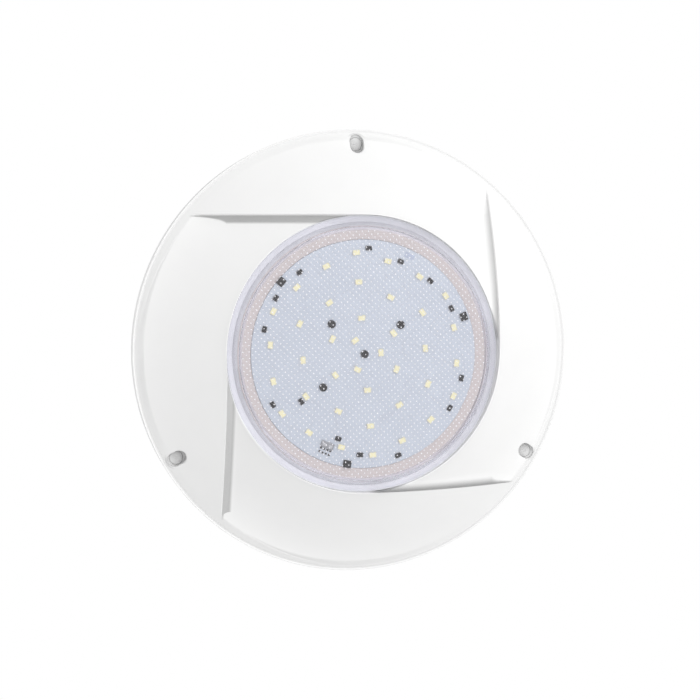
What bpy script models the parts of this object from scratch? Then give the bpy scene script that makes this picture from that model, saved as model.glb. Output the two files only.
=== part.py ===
"""Surface-mounted underwater pool light: a domed fascia with a pinwheel relief round a flat sealed LED lamp,
fixed by three recessed screws to a bracket on the pool wall.

Everything is modelled lying on its back, in millimetres, then stood upright by one empty: local X is world X,
local Y is world Z, and local Z, the height above the wall, points out of the wall along world -Y.
In names, _R is a radius, _H a height above the wall, _T a thickness and _L a length. Angles are in degrees
about local Z. "Front" is away from the wall.
"""

import math

import bmesh
import bpy
from mathutils import Matrix, Vector

MILLIMETRE = 0.001
ROUND = 40  # sides of a large turned piece
GAP = 0.3  # clearance left between neighbouring pieces
MERGE_DISTANCE = 1e-5
SHARP_ANGLE = 32.0  # edges that turn more than this stay sharp
HEX = "hexagon"  # marks a hexagonal ring in a turned profile

# ---- fascia ----
RIM_R = 145.0
RIM_BACK_H = 0.8  # the rim stands this far off the wall
RIM_H = 14.0  # rim's front edge
SKIRT_WALL = 2.6
SKIRT_INNER_R = RIM_R - SKIRT_WALL
LIP_R = 142.2  # the dome starts here, inside a narrow flat lip
DOME_EDGE_R = 140.4  # last ring of the dome before the lip
RECESS_R = 88.7  # lamp recess, and the circle that the four steps are tangent to
DOME_TOP_H = 49.1  # top of a step at the recess
DOME_SLOPE = 0.55  # slope of the dome at the recess
DOME_CURVE = 0.00188  # quadratic fall of the dome outwards, per mm
STEP = 6.5  # height of a step at the recess
STEP_END = 106.0  # length of a step along its tangent line
COVE = 5.0  # plan width of the hollow foot of a step
COVE_MIN = 1.0
SHELL_T = 3.0  # wall of the fascia under the lowest surface
BLADES = 4
BLADE_TURN = 2 * math.pi / BLADES
COVE_COLS = 4
BLADE_COLS = 8
COLUMNS = BLADES * (COVE_COLS + BLADE_COLS)
# Distances along a step's tangent line at which the front surface is built
STATIONS = (0.0, 12.0, 28.0, 46.0, 64.0, 80.0, 92.0, 101.0, STEP_END)
# Radii of the rings of the back surface
BACK_RADII = (138.5, 132.0, 124.0, 112.0, 100.0, RECESS_R + SHELL_T + 0.4)
LEDGE_H = 34.2  # front of the ledge that the lamp sits on
LEDGE_T = 3.0
LEDGE_BACK_H = LEDGE_H - LEDGE_T
LEDGE_R = 80.4  # hole in the ledge
RIB_START_R = RECESS_R + 1.5
RIB_HALF_W = 1.0
RIB_SINK = 1.6  # the ribs' front edges lie this far under the front surface
RIB_TURN = 0.7
RIB_INNER_FOOT_H = LEDGE_BACK_H + 0.8
PLAIN_RIB = (122.0, 18.0)  # outer radius, height of the outer foot
POST_RIB = (128.5, 14.0)  # the same, for a rib that runs to a post

# ---- fixing of the fascia ----
FIX_R = 135.4
FIX_ANGLES = (90.0, 210.0, 330.0)
FIX_FLOOR_H = 10.2  # floor of the counterbore
FIX_POST_H = 7.2  # back of the post that holds it
FIX_POST_R = 8.2
CBORE_HALF_W = 4.6
CBORE_HALF_L = 5.6  # along the radius
SHANK_R = 2.5
SHANK_HOLE_R = 2.9
HEAD_R = 4.2
HEAD_H = 3.0
SCREW_SEAL_T = 1.0
FACE_SCREW_TURNS = (20.0, 90.0, 125.0)

# ---- lamp ----
LAMP_R = 88.0
LENS_TOP_H = 42.2  # front of the lens flange
LENS_FLANGE_T = 2.8
LENS_BACK_H = LENS_TOP_H - LENS_FLANGE_T
LENS_CHAMFER = 0.6
FLANK_R0, FLANK_R1 = 84.3, 80.8  # foot and top of the lens's conical flank
WINDOW_H = 47.8  # edge of the window
WINDOW_CROWN = 2.2
LENS_T = 2.7
SEAL_T = 1.0
SEAL_TOP_H = LENS_BACK_H - GAP
GASKET_T = 1.0
SHELL_FLANGE_T = 2.0
SHELL_FLANGE_H = SEAL_TOP_H - SEAL_T - GAP  # front of the flange
SHELL_R = 79.8
SHELL_BACK_H = 24.0
SHELL_FLOOR_T = 2.2
SHELL_FLOOR_H = SHELL_BACK_H + SHELL_FLOOR_T
SHELL_BORE_R = 77.8
SHELL_SEAT_R0, SHELL_SEAT_R1 = 71.8, 74.4  # rim inside the shell, behind the heat spreader
GLAND_BORE_R = 10.6  # hole in the shell and bore of the locknut
CLAMP_T = 3.0
CLAMP_FRONT_H = SHELL_BACK_H - GAP  # front of the clamp ring's flat inner part
CLAMP_SCREW_PLACES = tuple((66.5, 45.0 + 90.0 * k) for k in range(4))  # radius, angle
CLAMP_SCREW_TURNS = (0.0, 20.0, 40.0, 60.0)
BOARD_R = 74.0
BOARD_H = 42.0
BOARD_T = 1.6
BOARD_TOP_H = BOARD_H + BOARD_T
SPREADER_R = 74.5
SPREADER_T = 2.2
SPREADER_TOP_H = BOARD_H - GAP
SPREADER_BACK_H = SPREADER_TOP_H - SPREADER_T
BOARD_SCREWS = ((0.0, 0.0), (28.8, 138.0), (30.0, 38.5), (34.0, 218.0))  # radius, angle
BOARD_SCREW_TURNS = (0.0, 50.0, 75.0, 100.0)
BOARD_SCREW_HOLE_R = 1.9
WIRE_R, WIRE_ANGLE = 65.0, 249.0  # where the cores reach the board

# Parts on the board. Sizes are along the radius, across it, and height above the board.
PART_SINK = 0.5  # the parts start this far inside the board
LED_SIZE = (2.8, 3.5, 0.8)
LED_PITCH = 23.1
LED_CENTRE = (0.463, 5.0)  # three LEDs in the middle: radius in pitches, first angle
# Rings of six LEDs on a near-hexagonal lattice: radius in pitches, first angle
LED_RINGS = (
    (1.0, 35.0),
    (math.sqrt(3), 5.0),
    (2.0, 35.0),
    (math.sqrt(7), 35.0 - 19.1),
    (math.sqrt(7), 35.0 + 19.1),
    (2.81, 35.0),
)
CURRENT_SOURCE_SIZE = (1.7, 3.0, 0.9)
CURRENT_SOURCES = (  # radius, angle
    (67.5, 88.0), (63.5, 68.5), (63.5, 47.5), (64.0, 27.0), (66.0, 346.0), (66.5, 328.0), (69.0, 289.0),
    (64.5, 267.5), (56.5, 252.5), (50.5, 216.0), (67.0, 208.0), (66.5, 166.0), (67.5, 148.0), (67.0, 129.0),
)
RECTIFIER_SIZE = (4.0, 4.6, 1.0)
RECTIFIERS = ((69.5, 20.0), (71.0, 261.0), (70.8, 139.5))  # radius, angle

# ---- cable and gland ----
CABLE_R = 4.2
CABLE_BORE_R = 3.2
CABLE_TAIL_H = -40.0
CABLE_END_H = 29.0
CORE_R = 1.25
CORE_OFFSET = 1.5  # of each core from the centre line inside the cable
CORE_SPREAD = 2.2  # the same, inside the lamp
CORE_BEND_R = 4.0
CORE_BEND_STEPS = 5
CORE_LEVEL_H = 35.0  # the cores cross the shell at this height
CORE_TAIL_H = -(WINDOW_H + WINDOW_CROWN)  # as far behind the wall plane as the crown is in front
GLAND_SIDES = 24
WASHER_T = 1.0
WASHER_TOP_H = SHELL_BACK_H - GAP
COLLAR_T = 4.0
COLLAR_TOP_H = WASHER_TOP_H - WASHER_T - GAP
GLAND_NUT_TOP_H = COLLAR_TOP_H - COLLAR_T - 0.4

# ---- wall bracket ----
BRACKET_R = 139.5
BRACKET_HOLE_R = 45.0
BRACKET_T = 3.0
BRACKET_TURN = 2.6  # turns the facets of the round plate
HUB_R = BRACKET_HOLE_R + 2.6  # outside of the raised collar round the hole
HUB_H = BRACKET_T + 5.0
RING_R0, RING_R1 = 117.6, 120.0  # raised ring
RING_H = BRACKET_T + 4.0
BRACKET_POST_R = 6.6
BRACKET_POST_TURN = 5.0  # turns the facets of the posts
INSERT_R = 3.9
BRACKET_RIB_R0, BRACKET_RIB_R1 = 46.6, 118.6
BRACKET_RIB_HALF_W = 1.1
WALL_SCREW_PLACES = tuple((105.0, angle) for angle in (45.0, 135.0, 225.0, 315.0))  # radius, angle
WALL_SCREW_TURNS = (0.0, 60.0, 90.0, 120.0)
WALL_SLOT_HALF_L, WALL_SLOT_HALF_W = 5.4, 2.9


for old_object in list(bpy.data.objects):
    bpy.data.objects.remove(old_object)

scene = bpy.context.scene


# ---------------------------------------------------------------- materials


def material(name, color, roughness, metallic=0.0, alpha=1.0):
    mat = bpy.data.materials.new(name)
    mat.use_nodes = True
    inputs = mat.node_tree.nodes["Principled BSDF"].inputs
    inputs["Base Color"].default_value = (*color, 1.0)
    inputs["Roughness"].default_value = roughness
    inputs["Metallic"].default_value = metallic
    inputs["Alpha"].default_value = alpha
    return mat


WHITE_ABS = material("white_abs", color=(0.86, 0.86, 0.85), roughness=0.28)
BRACKET_ABS = material("bracket_abs", color=(0.80, 0.80, 0.79), roughness=0.45)
CLEAR_PC = material("clear_polycarbonate", color=(0.86, 0.87, 0.90), roughness=0.05, alpha=0.3)
SHELL_PP = material("shell_polypropylene", color=(0.82, 0.80, 0.78), roughness=0.5)
BOARD_WHITE = material("board_solder_mask", color=(0.72, 0.78, 0.86), roughness=0.4)
ALUMINIUM = material("aluminium", color=(0.77, 0.78, 0.79), roughness=0.35, metallic=1.0)
BLACK_SCREW = material("black_oxide_screw", color=(0.02, 0.02, 0.025), roughness=0.4, metallic=0.8)
STEEL = material("stainless_steel", color=(0.62, 0.62, 0.61), roughness=0.3, metallic=1.0)
BRASS = material("brass", color=(0.78, 0.60, 0.28), roughness=0.3, metallic=1.0)
EPDM = material("epdm_rubber", color=(0.05, 0.05, 0.05), roughness=0.75)
SILICONE = material("silicone_seal", color=(0.70, 0.62, 0.60), roughness=0.6)
GLAND_PA = material("gland_nylon", color=(0.30, 0.31, 0.32), roughness=0.5)
CABLE_BLUE = material("cable_jacket", color=(0.03, 0.16, 0.36), roughness=0.55)
CORE_BROWN = material("core_brown", color=(0.20, 0.08, 0.03), roughness=0.5)
CORE_BLUE = material("core_blue", color=(0.03, 0.14, 0.50), roughness=0.5)


# ---------------------------------------------------------------- objects


def empty(name, location=(0, 0, 0), rotation=(0, 0, 0), parent=None):
    obj = bpy.data.objects.new(name, None)
    obj.location = Vector(location) * MILLIMETRE
    obj.rotation_euler = rotation
    obj.parent = parent
    scene.collection.objects.link(obj)
    return obj


AXIS = empty("light_axis", rotation=(math.pi / 2, 0, 0))
WALL_SIDE = empty("wall_side", parent=AXIS)
FRONT_UNIT = empty("front_unit", parent=AXIS)


def link_mesh(name, mesh, parent, location, degrees):
    obj = bpy.data.objects.new(name, mesh)
    obj.parent = parent
    obj.location = Vector(location) * MILLIMETRE
    obj.rotation_euler = (0, 0, math.radians(degrees))
    scene.collection.objects.link(obj)
    return obj


def mesh_of(name, shape):
    """A mesh in metres from a bmesh in millimetres, with its normals out. Frees the bmesh."""
    bmesh.ops.recalc_face_normals(shape, faces=shape.faces)
    shape.transform(Matrix.Scale(MILLIMETRE, 4))
    mesh = bpy.data.meshes.new(name)
    shape.to_mesh(mesh)
    shape.free()
    return mesh


def smooth(mesh):
    mesh.shade_smooth()
    mesh.set_sharp_from_angle(angle=math.radians(SHARP_ANGLE))


def object_of(name, shape, mat, parent, location=(0, 0, 0), degrees=0.0):
    """One named object from a bmesh in millimetres."""
    bmesh.ops.remove_doubles(shape, verts=shape.verts, dist=MERGE_DISTANCE)
    mesh = mesh_of(name, shape)
    mesh.materials.append(mat)
    smooth(mesh)
    return link_mesh(name, mesh, parent, location, degrees)


def copy_of(obj, name, location, degrees=0.0, parent=None):
    """Another object with the same mesh."""
    return link_mesh(name, obj.data, parent or obj.parent, location, degrees)


def shape_with(obj, operations):
    """Applies Boolean operations, each (DIFFERENCE or UNION, list of bmeshes), in the object's own space."""
    tools = []
    for k, (operation, shapes) in enumerate(operations):
        mesh = mesh_of(f"{obj.name}_tool_{k}", merged(shapes))
        tool = bpy.data.objects.new(mesh.name, mesh)
        tool.parent = obj.parent
        tool.location = obj.location
        tool.rotation_euler = obj.rotation_euler
        scene.collection.objects.link(tool)
        boolean = obj.modifiers.new(f"{operation.lower()}_{k}", "BOOLEAN")
        boolean.operation = operation
        boolean.solver = "EXACT"
        boolean.object = tool
        tools.append(tool)
    bpy.context.view_layer.update()
    evaluated = obj.evaluated_get(bpy.context.evaluated_depsgraph_get())
    mesh = bpy.data.meshes.new_from_object(evaluated)
    obj.modifiers.clear()
    uncut = obj.data
    obj.data = mesh
    bpy.data.meshes.remove(uncut)
    mesh.name = obj.name
    smooth(mesh)
    for tool in tools:
        tool_mesh = tool.data
        bpy.data.objects.remove(tool)
        bpy.data.meshes.remove(tool_mesh)
    return obj


# ---------------------------------------------------------------- shapes


def polar(radius, degrees):
    angle = math.radians(degrees)
    return radius * math.cos(angle), radius * math.sin(angle)


def join_rings(shape, ring, above):
    """A band of quads between two rings with the same number of vertices."""
    for k in range(len(ring)):
        j = (k + 1) % len(ring)
        shape.faces.new((ring[k], ring[j], above[j], above[k]))


def lathe_shape(profile, segments, turn=0.0):
    """A closed (radius, height) outline turned about local Z. Points at radius 0 become one vertex on the axis.
    A point (half width, height, HEX) makes its ring a hexagon of that half width across flats."""
    shape = bmesh.new()
    rings = []
    for radius, height, *form in profile:
        if radius < 1e-9:
            rings.append([shape.verts.new((0, 0, height))])
            continue
        ring = []
        for k in range(segments):
            angle = 2 * math.pi * k / segments + turn
            reach = radius
            if form:
                reach = radius / math.cos(angle % (math.pi / 3) - math.pi / 6)
            ring.append(shape.verts.new((reach * math.cos(angle), reach * math.sin(angle), height)))
        rings.append(ring)
    for i, ring in enumerate(rings):
        above = rings[(i + 1) % len(rings)]
        if len(ring) == 1 and len(above) == 1:
            continue
        if len(ring) > 1 and len(above) > 1:
            join_rings(shape, ring, above)
            continue
        for k in range(segments):
            j = (k + 1) % segments
            if len(ring) == 1:
                shape.faces.new((ring[0], above[j], above[k]))
            else:
                shape.faces.new((ring[k], ring[j], above[0]))
    return shape


def lathe(name, profile, segments, mat, parent=FRONT_UNIT, location=(0, 0, 0), degrees=0.0):
    return object_of(name, lathe_shape(profile, segments), mat, parent, location, degrees)


def tube_profile(bore_r, outer_r, low, high):
    return ((bore_r, low), (outer_r, low), (outer_r, high), (bore_r, high))


def rod_profile(radius, low, high):
    return ((0, low), (radius, low), (radius, high), (0, high))


def prism_shape(outline, low, high):
    shape = bmesh.new()
    bottom = [shape.verts.new((x, y, low)) for x, y in outline]
    top = [shape.verts.new((x, y, high)) for x, y in outline]
    shape.faces.new(bottom[::-1])
    shape.faces.new(top)
    join_rings(shape, bottom, top)
    return shape


def rectangle(x_min, x_max, half_w):
    return [(x_min, -half_w), (x_max, -half_w), (x_max, half_w), (x_min, half_w)]


def slot_outline(half_l, half_w, steps=8):
    """A round-ended slot along local X."""
    flat = half_l - half_w
    points = []
    for half_turn, shift in enumerate((flat, -flat)):
        for k in range(steps + 1):
            angle = -math.pi / 2 + math.pi * k / steps + math.pi * half_turn
            points.append((half_w * math.cos(angle) + shift, half_w * math.sin(angle)))
    return points


def cross_outline(arm, half_w):
    return [
        (half_w, half_w), (half_w, arm), (-half_w, arm),
        (-half_w, half_w), (-arm, half_w), (-arm, -half_w),
        (-half_w, -half_w), (-half_w, -arm), (half_w, -arm),
        (half_w, -half_w), (arm, -half_w), (arm, half_w),
    ]


def merged(shapes):
    """Several closed shapes as one bmesh."""
    result = bmesh.new()
    for shape in shapes:
        mesh = bpy.data.meshes.new("part_shape")
        shape.to_mesh(mesh)
        shape.free()
        result.from_mesh(mesh)
        bpy.data.meshes.remove(mesh)
    return result


def placed(shape, place, turn=0.0):
    """Turns a shape about its own axis and moves it to a (radius, angle) place."""
    shift = Matrix.Translation(Vector((*polar(*place), 0)))
    shape.transform(shift @ Matrix.Rotation(math.radians(turn), 4, "Z"))
    return shape


def rod(radius, low, high, segments, place, turn=0.0):
    return placed(lathe_shape(rod_profile(radius, low, high), segments), place, turn)


def screw(
    name, mat, parent, location, shank_r, shank_l, head_r, head_h, segments, pointed=True, degrees=0.0
):
    """A pan-head screw on local Z: the head's seat at 0, the shank below it, and a cross recess in the head."""
    if pointed:
        tip_r, tip_l = shank_r * 0.35, shank_r * 1.5
    else:
        tip_r, tip_l = shank_r * 0.8, shank_r * 0.3
    profile = (
        (0, -shank_l),
        (tip_r, -shank_l),
        (shank_r, -shank_l + tip_l),
        (shank_r, 0),
        (head_r, 0),
        (head_r, head_h * 0.35),
        (head_r * 0.82, head_h * 0.8),
        (head_r * 0.5, head_h),
        (0, head_h),
    )
    obj = lathe(name, profile, segments, mat, parent, location, degrees)
    cross = prism_shape(cross_outline(head_r * 0.52, head_r * 0.13), head_h * 0.42, head_h + 1.0)
    return shape_with(obj, [("DIFFERENCE", [cross])])


def screw_set(stem, mat, parent, places, seat_h, turns, **sizes):
    """One screw at each (radius, angle) place, all sharing a mesh. Returns the first."""
    locations = [(*polar(*place), seat_h) for place in places]
    first = screw(f"{stem}_1", mat, parent, locations[0], degrees=turns[0], **sizes)
    for number in range(2, len(places) + 1):
        copy_of(first, f"{stem}_{number}", locations[number - 1], turns[number - 1])
    return first


# ---------------------------------------------------------------- fascia


def dome_height(radius):
    outward = radius - RECESS_R
    return DOME_TOP_H - DOME_SLOPE * outward - DOME_CURVE * outward * outward


def step_height(along):
    """Height of the step at a distance along its tangent line: full by the lens, running out near the rim."""
    share = min(along / STEP_END, 1.0)
    return STEP * (1 - share**6)


def cove_width(along):
    share = min(along / STEP_END, 1.0)
    return max(COVE * (1 - share**16), COVE_MIN)


def cove_angle(along, width):
    """The turn about the axis, from a step's line, that lies width inside that line. Found by bisection."""
    low, high = 0.0, math.radians(60)
    for _ in range(60):
        middle = (low + high) / 2
        inside = RECESS_R * (1 - math.cos(middle)) + along * math.sin(middle)
        if inside < width:
            low = middle
        else:
            high = middle
    return (low + high) / 2


def fascia_column(along, column):
    """(turn from the first step's line, height below the dome) of one column of the front surface."""
    blade, k = divmod(column, COVE_COLS + BLADE_COLS)
    width = cove_width(along)
    foot = cove_angle(along, width)
    if k < COVE_COLS:
        # Quarter-round hollow from the top of the step down to its foot
        share = 1 - math.cos(math.pi / 2 * k / COVE_COLS)
        turn = cove_angle(along, width * share) if k else 0.0
        rise = 1 - math.sqrt(max(0.0, 1 - (1 - share) ** 2))
        level = rise + (1 - rise) * (foot / BLADE_TURN) * share
    else:
        # Blade climbing evenly from the foot to the top of the next step
        turn = foot + (BLADE_TURN - foot) * (k - COVE_COLS) / BLADE_COLS
        level = turn / BLADE_TURN
    return blade * BLADE_TURN + turn, step_height(along) * (1 - level)


def fascia_point(along, column):
    turn, drop = fascia_column(along, column)
    radius = math.hypot(RECESS_R, along)
    angle = turn + math.atan2(along, RECESS_R)
    return radius * math.cos(angle), radius * math.sin(angle), dome_height(radius) - drop


def tangent_distance(radius):
    """Distance along a step's line at which it reaches a radius."""
    return math.sqrt(max(radius * radius - RECESS_R**2, 0.0))


def below_front(radius, depth):
    """Height at a depth under the lowest front surface at a radius."""
    return dome_height(radius) - step_height(tangent_distance(radius)) - depth


def fascia_shape():
    """One closed shell: blades on the front, then lip, skirt, turned back surface, ledge and recess wall."""
    rows = [[fascia_point(along, column) for column in range(COLUMNS)] for along in STATIONS]
    recess_turns = [math.atan2(y, x) for x, y, _ in rows[0]]
    outer_turns = [math.atan2(y, x) for x, y, _ in rows[-1]]

    def even_turns(start):
        return [start + 2 * math.pi * column / COLUMNS for column in range(COLUMNS)]

    def add_ring(turns, radius, height):
        rows.append([(radius * math.cos(turn), radius * math.sin(turn), height) for turn in turns])

    # The columns are uneven on the blades, half evened out at the dome's edge and even from the lip on
    rim_turns = even_turns(outer_turns[0])
    half_turns = [
        uneven + ((even - uneven + math.pi) % (2 * math.pi) - math.pi) * 0.5
        for uneven, even in zip(outer_turns, rim_turns)
    ]
    add_ring(half_turns, DOME_EDGE_R, dome_height(DOME_EDGE_R))
    for radius, height in (
        (LIP_R, RIM_H + 0.25),
        (RIM_R - 0.9, RIM_H),
        (RIM_R, RIM_H - 1.0),
        (RIM_R, RIM_BACK_H),
        (SKIRT_INNER_R, RIM_BACK_H),
        (SKIRT_INNER_R, RIM_H - 3.4),
    ):
        add_ring(rim_turns, radius, height)
    for radius in BACK_RADII:
        start = math.atan2(tangent_distance(radius), RECESS_R)
        add_ring(even_turns(start), radius, below_front(radius, SHELL_T))
    add_ring(even_turns(0.10), RECESS_R + SHELL_T, LEDGE_BACK_H)
    add_ring(even_turns(0.0), LEDGE_R, LEDGE_BACK_H)
    add_ring(even_turns(0.0), LEDGE_R, LEDGE_H)
    add_ring(recess_turns, RECESS_R, LEDGE_H)

    shape = bmesh.new()
    rings = [[shape.verts.new(point) for point in row] for row in rows]
    for i, ring in enumerate(rings):
        join_rings(shape, ring, rings[(i + 1) % len(rings)])
    bmesh.ops.triangulate(shape, faces=shape.faces)
    return shape


def fascia_rib(angle):
    """A radial rib behind the dome, its front edge inside the wall of the fascia."""
    outer_r, outer_foot_h = POST_RIB if angle in FIX_ANGLES else PLAIN_RIB
    rib = prism_shape(rectangle(RIB_START_R, outer_r, RIB_HALF_W), 0.0, 1.0)
    for vert in rib.verts:
        if vert.co.z > 0.5:
            vert.co.z = below_front(vert.co.x, RIB_SINK)
        elif vert.co.x < 100:
            vert.co.z = RIB_INNER_FOOT_H
        else:
            vert.co.z = outer_foot_h
    return placed(rib, (0, 0), angle + RIB_TURN)


def build_fascia():
    plate = object_of("face_plate", fascia_shape(), WHITE_ABS, FRONT_UNIT)
    posts, bores, holes = [], [], []
    for angle in FIX_ANGLES:
        place = (FIX_R, angle)
        posts.append(rod(FIX_POST_R, FIX_POST_H, RIM_H - 0.5, 20, place, angle))
        bore = prism_shape(slot_outline(CBORE_HALF_L, CBORE_HALF_W), FIX_FLOOR_H, 30.0)
        bores.append(placed(bore, place, angle))
        holes.append(rod(SHANK_HOLE_R, 0.0, 20.0, 20, place, angle))
    ribs = [fascia_rib(30.0 + 60.0 * k) for k in range(6)]
    shape_with(plate, [("UNION", ribs), ("UNION", posts), ("DIFFERENCE", bores), ("DIFFERENCE", holes)])


# ---------------------------------------------------------------- lamp


def build_lens():
    def crown(radii, edge_h, edge_r):
        """Points of a shallow paraboloid that meets edge_h at edge_r."""
        return [(radius, edge_h + WINDOW_CROWN * (1 - (radius / edge_r) ** 2)) for radius in radii]

    inner_r = FLANK_R1 - 2.9
    inner_h = WINDOW_H - LENS_T
    profile = (
        *crown((0, 34.0, 60.0), inner_h, inner_r),
        (inner_r, inner_h),
        (FLANK_R0 - 3.0, LENS_BACK_H),
        (LAMP_R, LENS_BACK_H),
        (LAMP_R, LENS_TOP_H - LENS_CHAMFER),
        (LAMP_R - LENS_CHAMFER, LENS_TOP_H),
        (FLANK_R0, LENS_TOP_H),
        (FLANK_R1 + 0.35, WINDOW_H - 0.6),
        *crown((80.0, 60.0, 34.0, 0), WINDOW_H, FLANK_R1),
    )
    lathe("lamp_lens", profile, ROUND, CLEAR_PC)


def build_lens_seal():
    lathe("lens_seal", tube_profile(81.8, 87.4, SEAL_TOP_H - SEAL_T, SEAL_TOP_H), ROUND, SILICONE)


def build_lamp_gasket():
    low = LEDGE_H + GAP
    lathe("lamp_gasket", tube_profile(81.0, 87.8, low, low + GASKET_T), ROUND, EPDM)


def build_shell():
    seat_h = SPREADER_BACK_H - GAP
    profile = (
        (GLAND_BORE_R, SHELL_BACK_H),
        (SHELL_R - 2.0, SHELL_BACK_H),
        (SHELL_R, SHELL_BACK_H + 2.0),
        (SHELL_R, SHELL_FLANGE_H - SHELL_FLANGE_T),
        (LAMP_R, SHELL_FLANGE_H - SHELL_FLANGE_T),
        (LAMP_R, SHELL_FLANGE_H),
        (SHELL_BORE_R, SHELL_FLANGE_H),
        (SHELL_BORE_R, SHELL_FLOOR_H + 2.0),
        (SHELL_SEAT_R1, SHELL_FLOOR_H + 2.0),
        (SHELL_SEAT_R1, seat_h),
        (SHELL_SEAT_R0, seat_h),
        (SHELL_SEAT_R0, SHELL_FLOOR_H),
        (GLAND_BORE_R, SHELL_FLOOR_H),
    )
    shell = lathe("lamp_shell", profile, ROUND, SHELL_PP)
    bosses = [rod(4.6, SHELL_BACK_H + 0.8, 34.0, 14, place) for place in CLAMP_SCREW_PLACES]
    holes = [rod(2.35, SHELL_BACK_H - 2, 32.0, 14, place) for place in CLAMP_SCREW_PLACES]
    shape_with(shell, [("UNION", bosses), ("DIFFERENCE", holes)])


def build_spreader():
    profile = (
        (0, SPREADER_BACK_H),
        (SPREADER_R - 5, SPREADER_BACK_H),
        (SPREADER_R, SPREADER_BACK_H),
        (SPREADER_R, SPREADER_TOP_H),
        (0, SPREADER_TOP_H),
    )
    spreader = lathe("heat_spreader", profile, ROUND, ALUMINIUM)
    bosses = [
        rod(4.0, SPREADER_BACK_H - 3.0, SPREADER_TOP_H - 0.6, 12, place) for place in BOARD_SCREWS
    ]
    holes = [rod(BOARD_SCREW_HOLE_R, 30, 50, 12, place) for place in BOARD_SCREWS]
    holes.append(rod(5.0, 30, 50, 16, (WIRE_R, WIRE_ANGLE)))  # for the cores
    shape_with(spreader, [("UNION", bosses), ("DIFFERENCE", holes)])


def led_places():
    """(radius, angle) of the 39 LEDs."""
    pitches, start = LED_CENTRE
    places = [(pitches * LED_PITCH, start + 120.0 * k) for k in range(3)]
    for k in range(6):
        places += [(pitches * LED_PITCH, start + 60.0 * k) for pitches, start in LED_RINGS]
    return places


def build_board():
    board = lathe("led_board", rod_profile(BOARD_R, BOARD_H, BOARD_TOP_H), ROUND, BOARD_WHITE)
    parts = []
    for places, (along, across, high) in (
        (led_places(), LED_SIZE),
        (CURRENT_SOURCES, CURRENT_SOURCE_SIZE),
        (RECTIFIERS, RECTIFIER_SIZE),
    ):
        outline = rectangle(-along / 2, along / 2, across / 2)
        for place in places:
            box = prism_shape(outline, BOARD_TOP_H - PART_SINK, BOARD_TOP_H + high)
            parts.append(placed(box, place, place[1]))
    holes = [rod(BOARD_SCREW_HOLE_R, BOARD_H - 2, BOARD_H + 4, 12, place) for place in BOARD_SCREWS]
    shape_with(board, [("UNION", parts), ("DIFFERENCE", holes)])


def build_clamp_ring():
    """A stepped ring round the back of the shell, its flange behind the fascia's ledge."""
    flange_h = LEDGE_BACK_H - GAP
    profile = (
        (61.5, CLAMP_FRONT_H - CLAMP_T),
        (82.6, CLAMP_FRONT_H - CLAMP_T),
        (82.6, flange_h - CLAMP_T),
        (87.6, flange_h - CLAMP_T),
        (87.6, flange_h),
        (80.2, flange_h),
        (80.2, CLAMP_FRONT_H + 2.6),
        (77.6, CLAMP_FRONT_H),
        (61.5, CLAMP_FRONT_H),
    )
    ring = lathe("clamp_ring", profile, ROUND, BRACKET_ABS)
    holes = [rod(2.4, 10, 30, 14, place) for place in CLAMP_SCREW_PLACES]
    shape_with(ring, [("DIFFERENCE", holes)])


def build_board_screws():
    screw_set(
        "board_screw", BLACK_SCREW, FRONT_UNIT, BOARD_SCREWS, BOARD_TOP_H + GAP, BOARD_SCREW_TURNS,
        shank_r=1.5, shank_l=6.0, head_r=2.6, head_h=1.4, segments=10, pointed=False,
    )


def build_clamp_screws():
    first = screw_set(
        "clamp_screw", STEEL, FRONT_UNIT, CLAMP_SCREW_PLACES, CLAMP_FRONT_H - CLAMP_T - GAP,
        CLAMP_SCREW_TURNS, shank_r=2.0, shank_l=10.5, head_r=3.8, head_h=2.6, segments=12,
    )
    # Driven from the back: the shared mesh is turned so that the heads face the wall
    first.data.transform(Matrix.Rotation(math.pi, 4, "X"))


# ---------------------------------------------------------------- gland and cable


def build_gland_body():
    profile = (
        (7.0, 6.8),
        (8.6, 6.8),
        (9.6, 7.8),
        (9.6, COLLAR_TOP_H - COLLAR_T),
        (13.5, COLLAR_TOP_H - COLLAR_T, HEX),
        (13.5, COLLAR_TOP_H, HEX),
        (10.2, COLLAR_TOP_H),
        (10.2, 30.4),
        (9.6, 31.0),
        (5.6, 31.0),
        (5.6, 13.6),
        (7.0, 13.6),
    )
    lathe("gland_body", profile, GLAND_SIDES, GLAND_PA)


def build_gland_washer():
    profile = tube_profile(10.5, 13.4, WASHER_TOP_H - WASHER_T, WASHER_TOP_H)
    lathe("gland_washer", profile, GLAND_SIDES, EPDM)


def build_gland_locknut():
    low, high = SHELL_FLOOR_H + GAP, SHELL_FLOOR_H + 3.9
    profile = ((GLAND_BORE_R, low), (12.5, low, HEX), (12.5, high, HEX), (GLAND_BORE_R, high))
    lathe("gland_locknut", profile, GLAND_SIDES, GLAND_PA)


def build_gland_bush():
    lathe("gland_bush", tube_profile(CABLE_R + GAP, 6.7, 5.6, 13.2), 20, EPDM)


def build_gland_nut():
    profile = (
        (5.0, 2.4),
        (8.0, 2.4),
        (11.2, 5.0),
        (12.0, 8.6),
        (12.6, 8.6, HEX),
        (12.6, GLAND_NUT_TOP_H, HEX),
        (9.9, GLAND_NUT_TOP_H),
        (9.9, 6.4),
        (7.2, 5.2),
        (5.0, 5.2),
    )
    lathe("gland_nut", profile, GLAND_SIDES, GLAND_PA)


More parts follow.
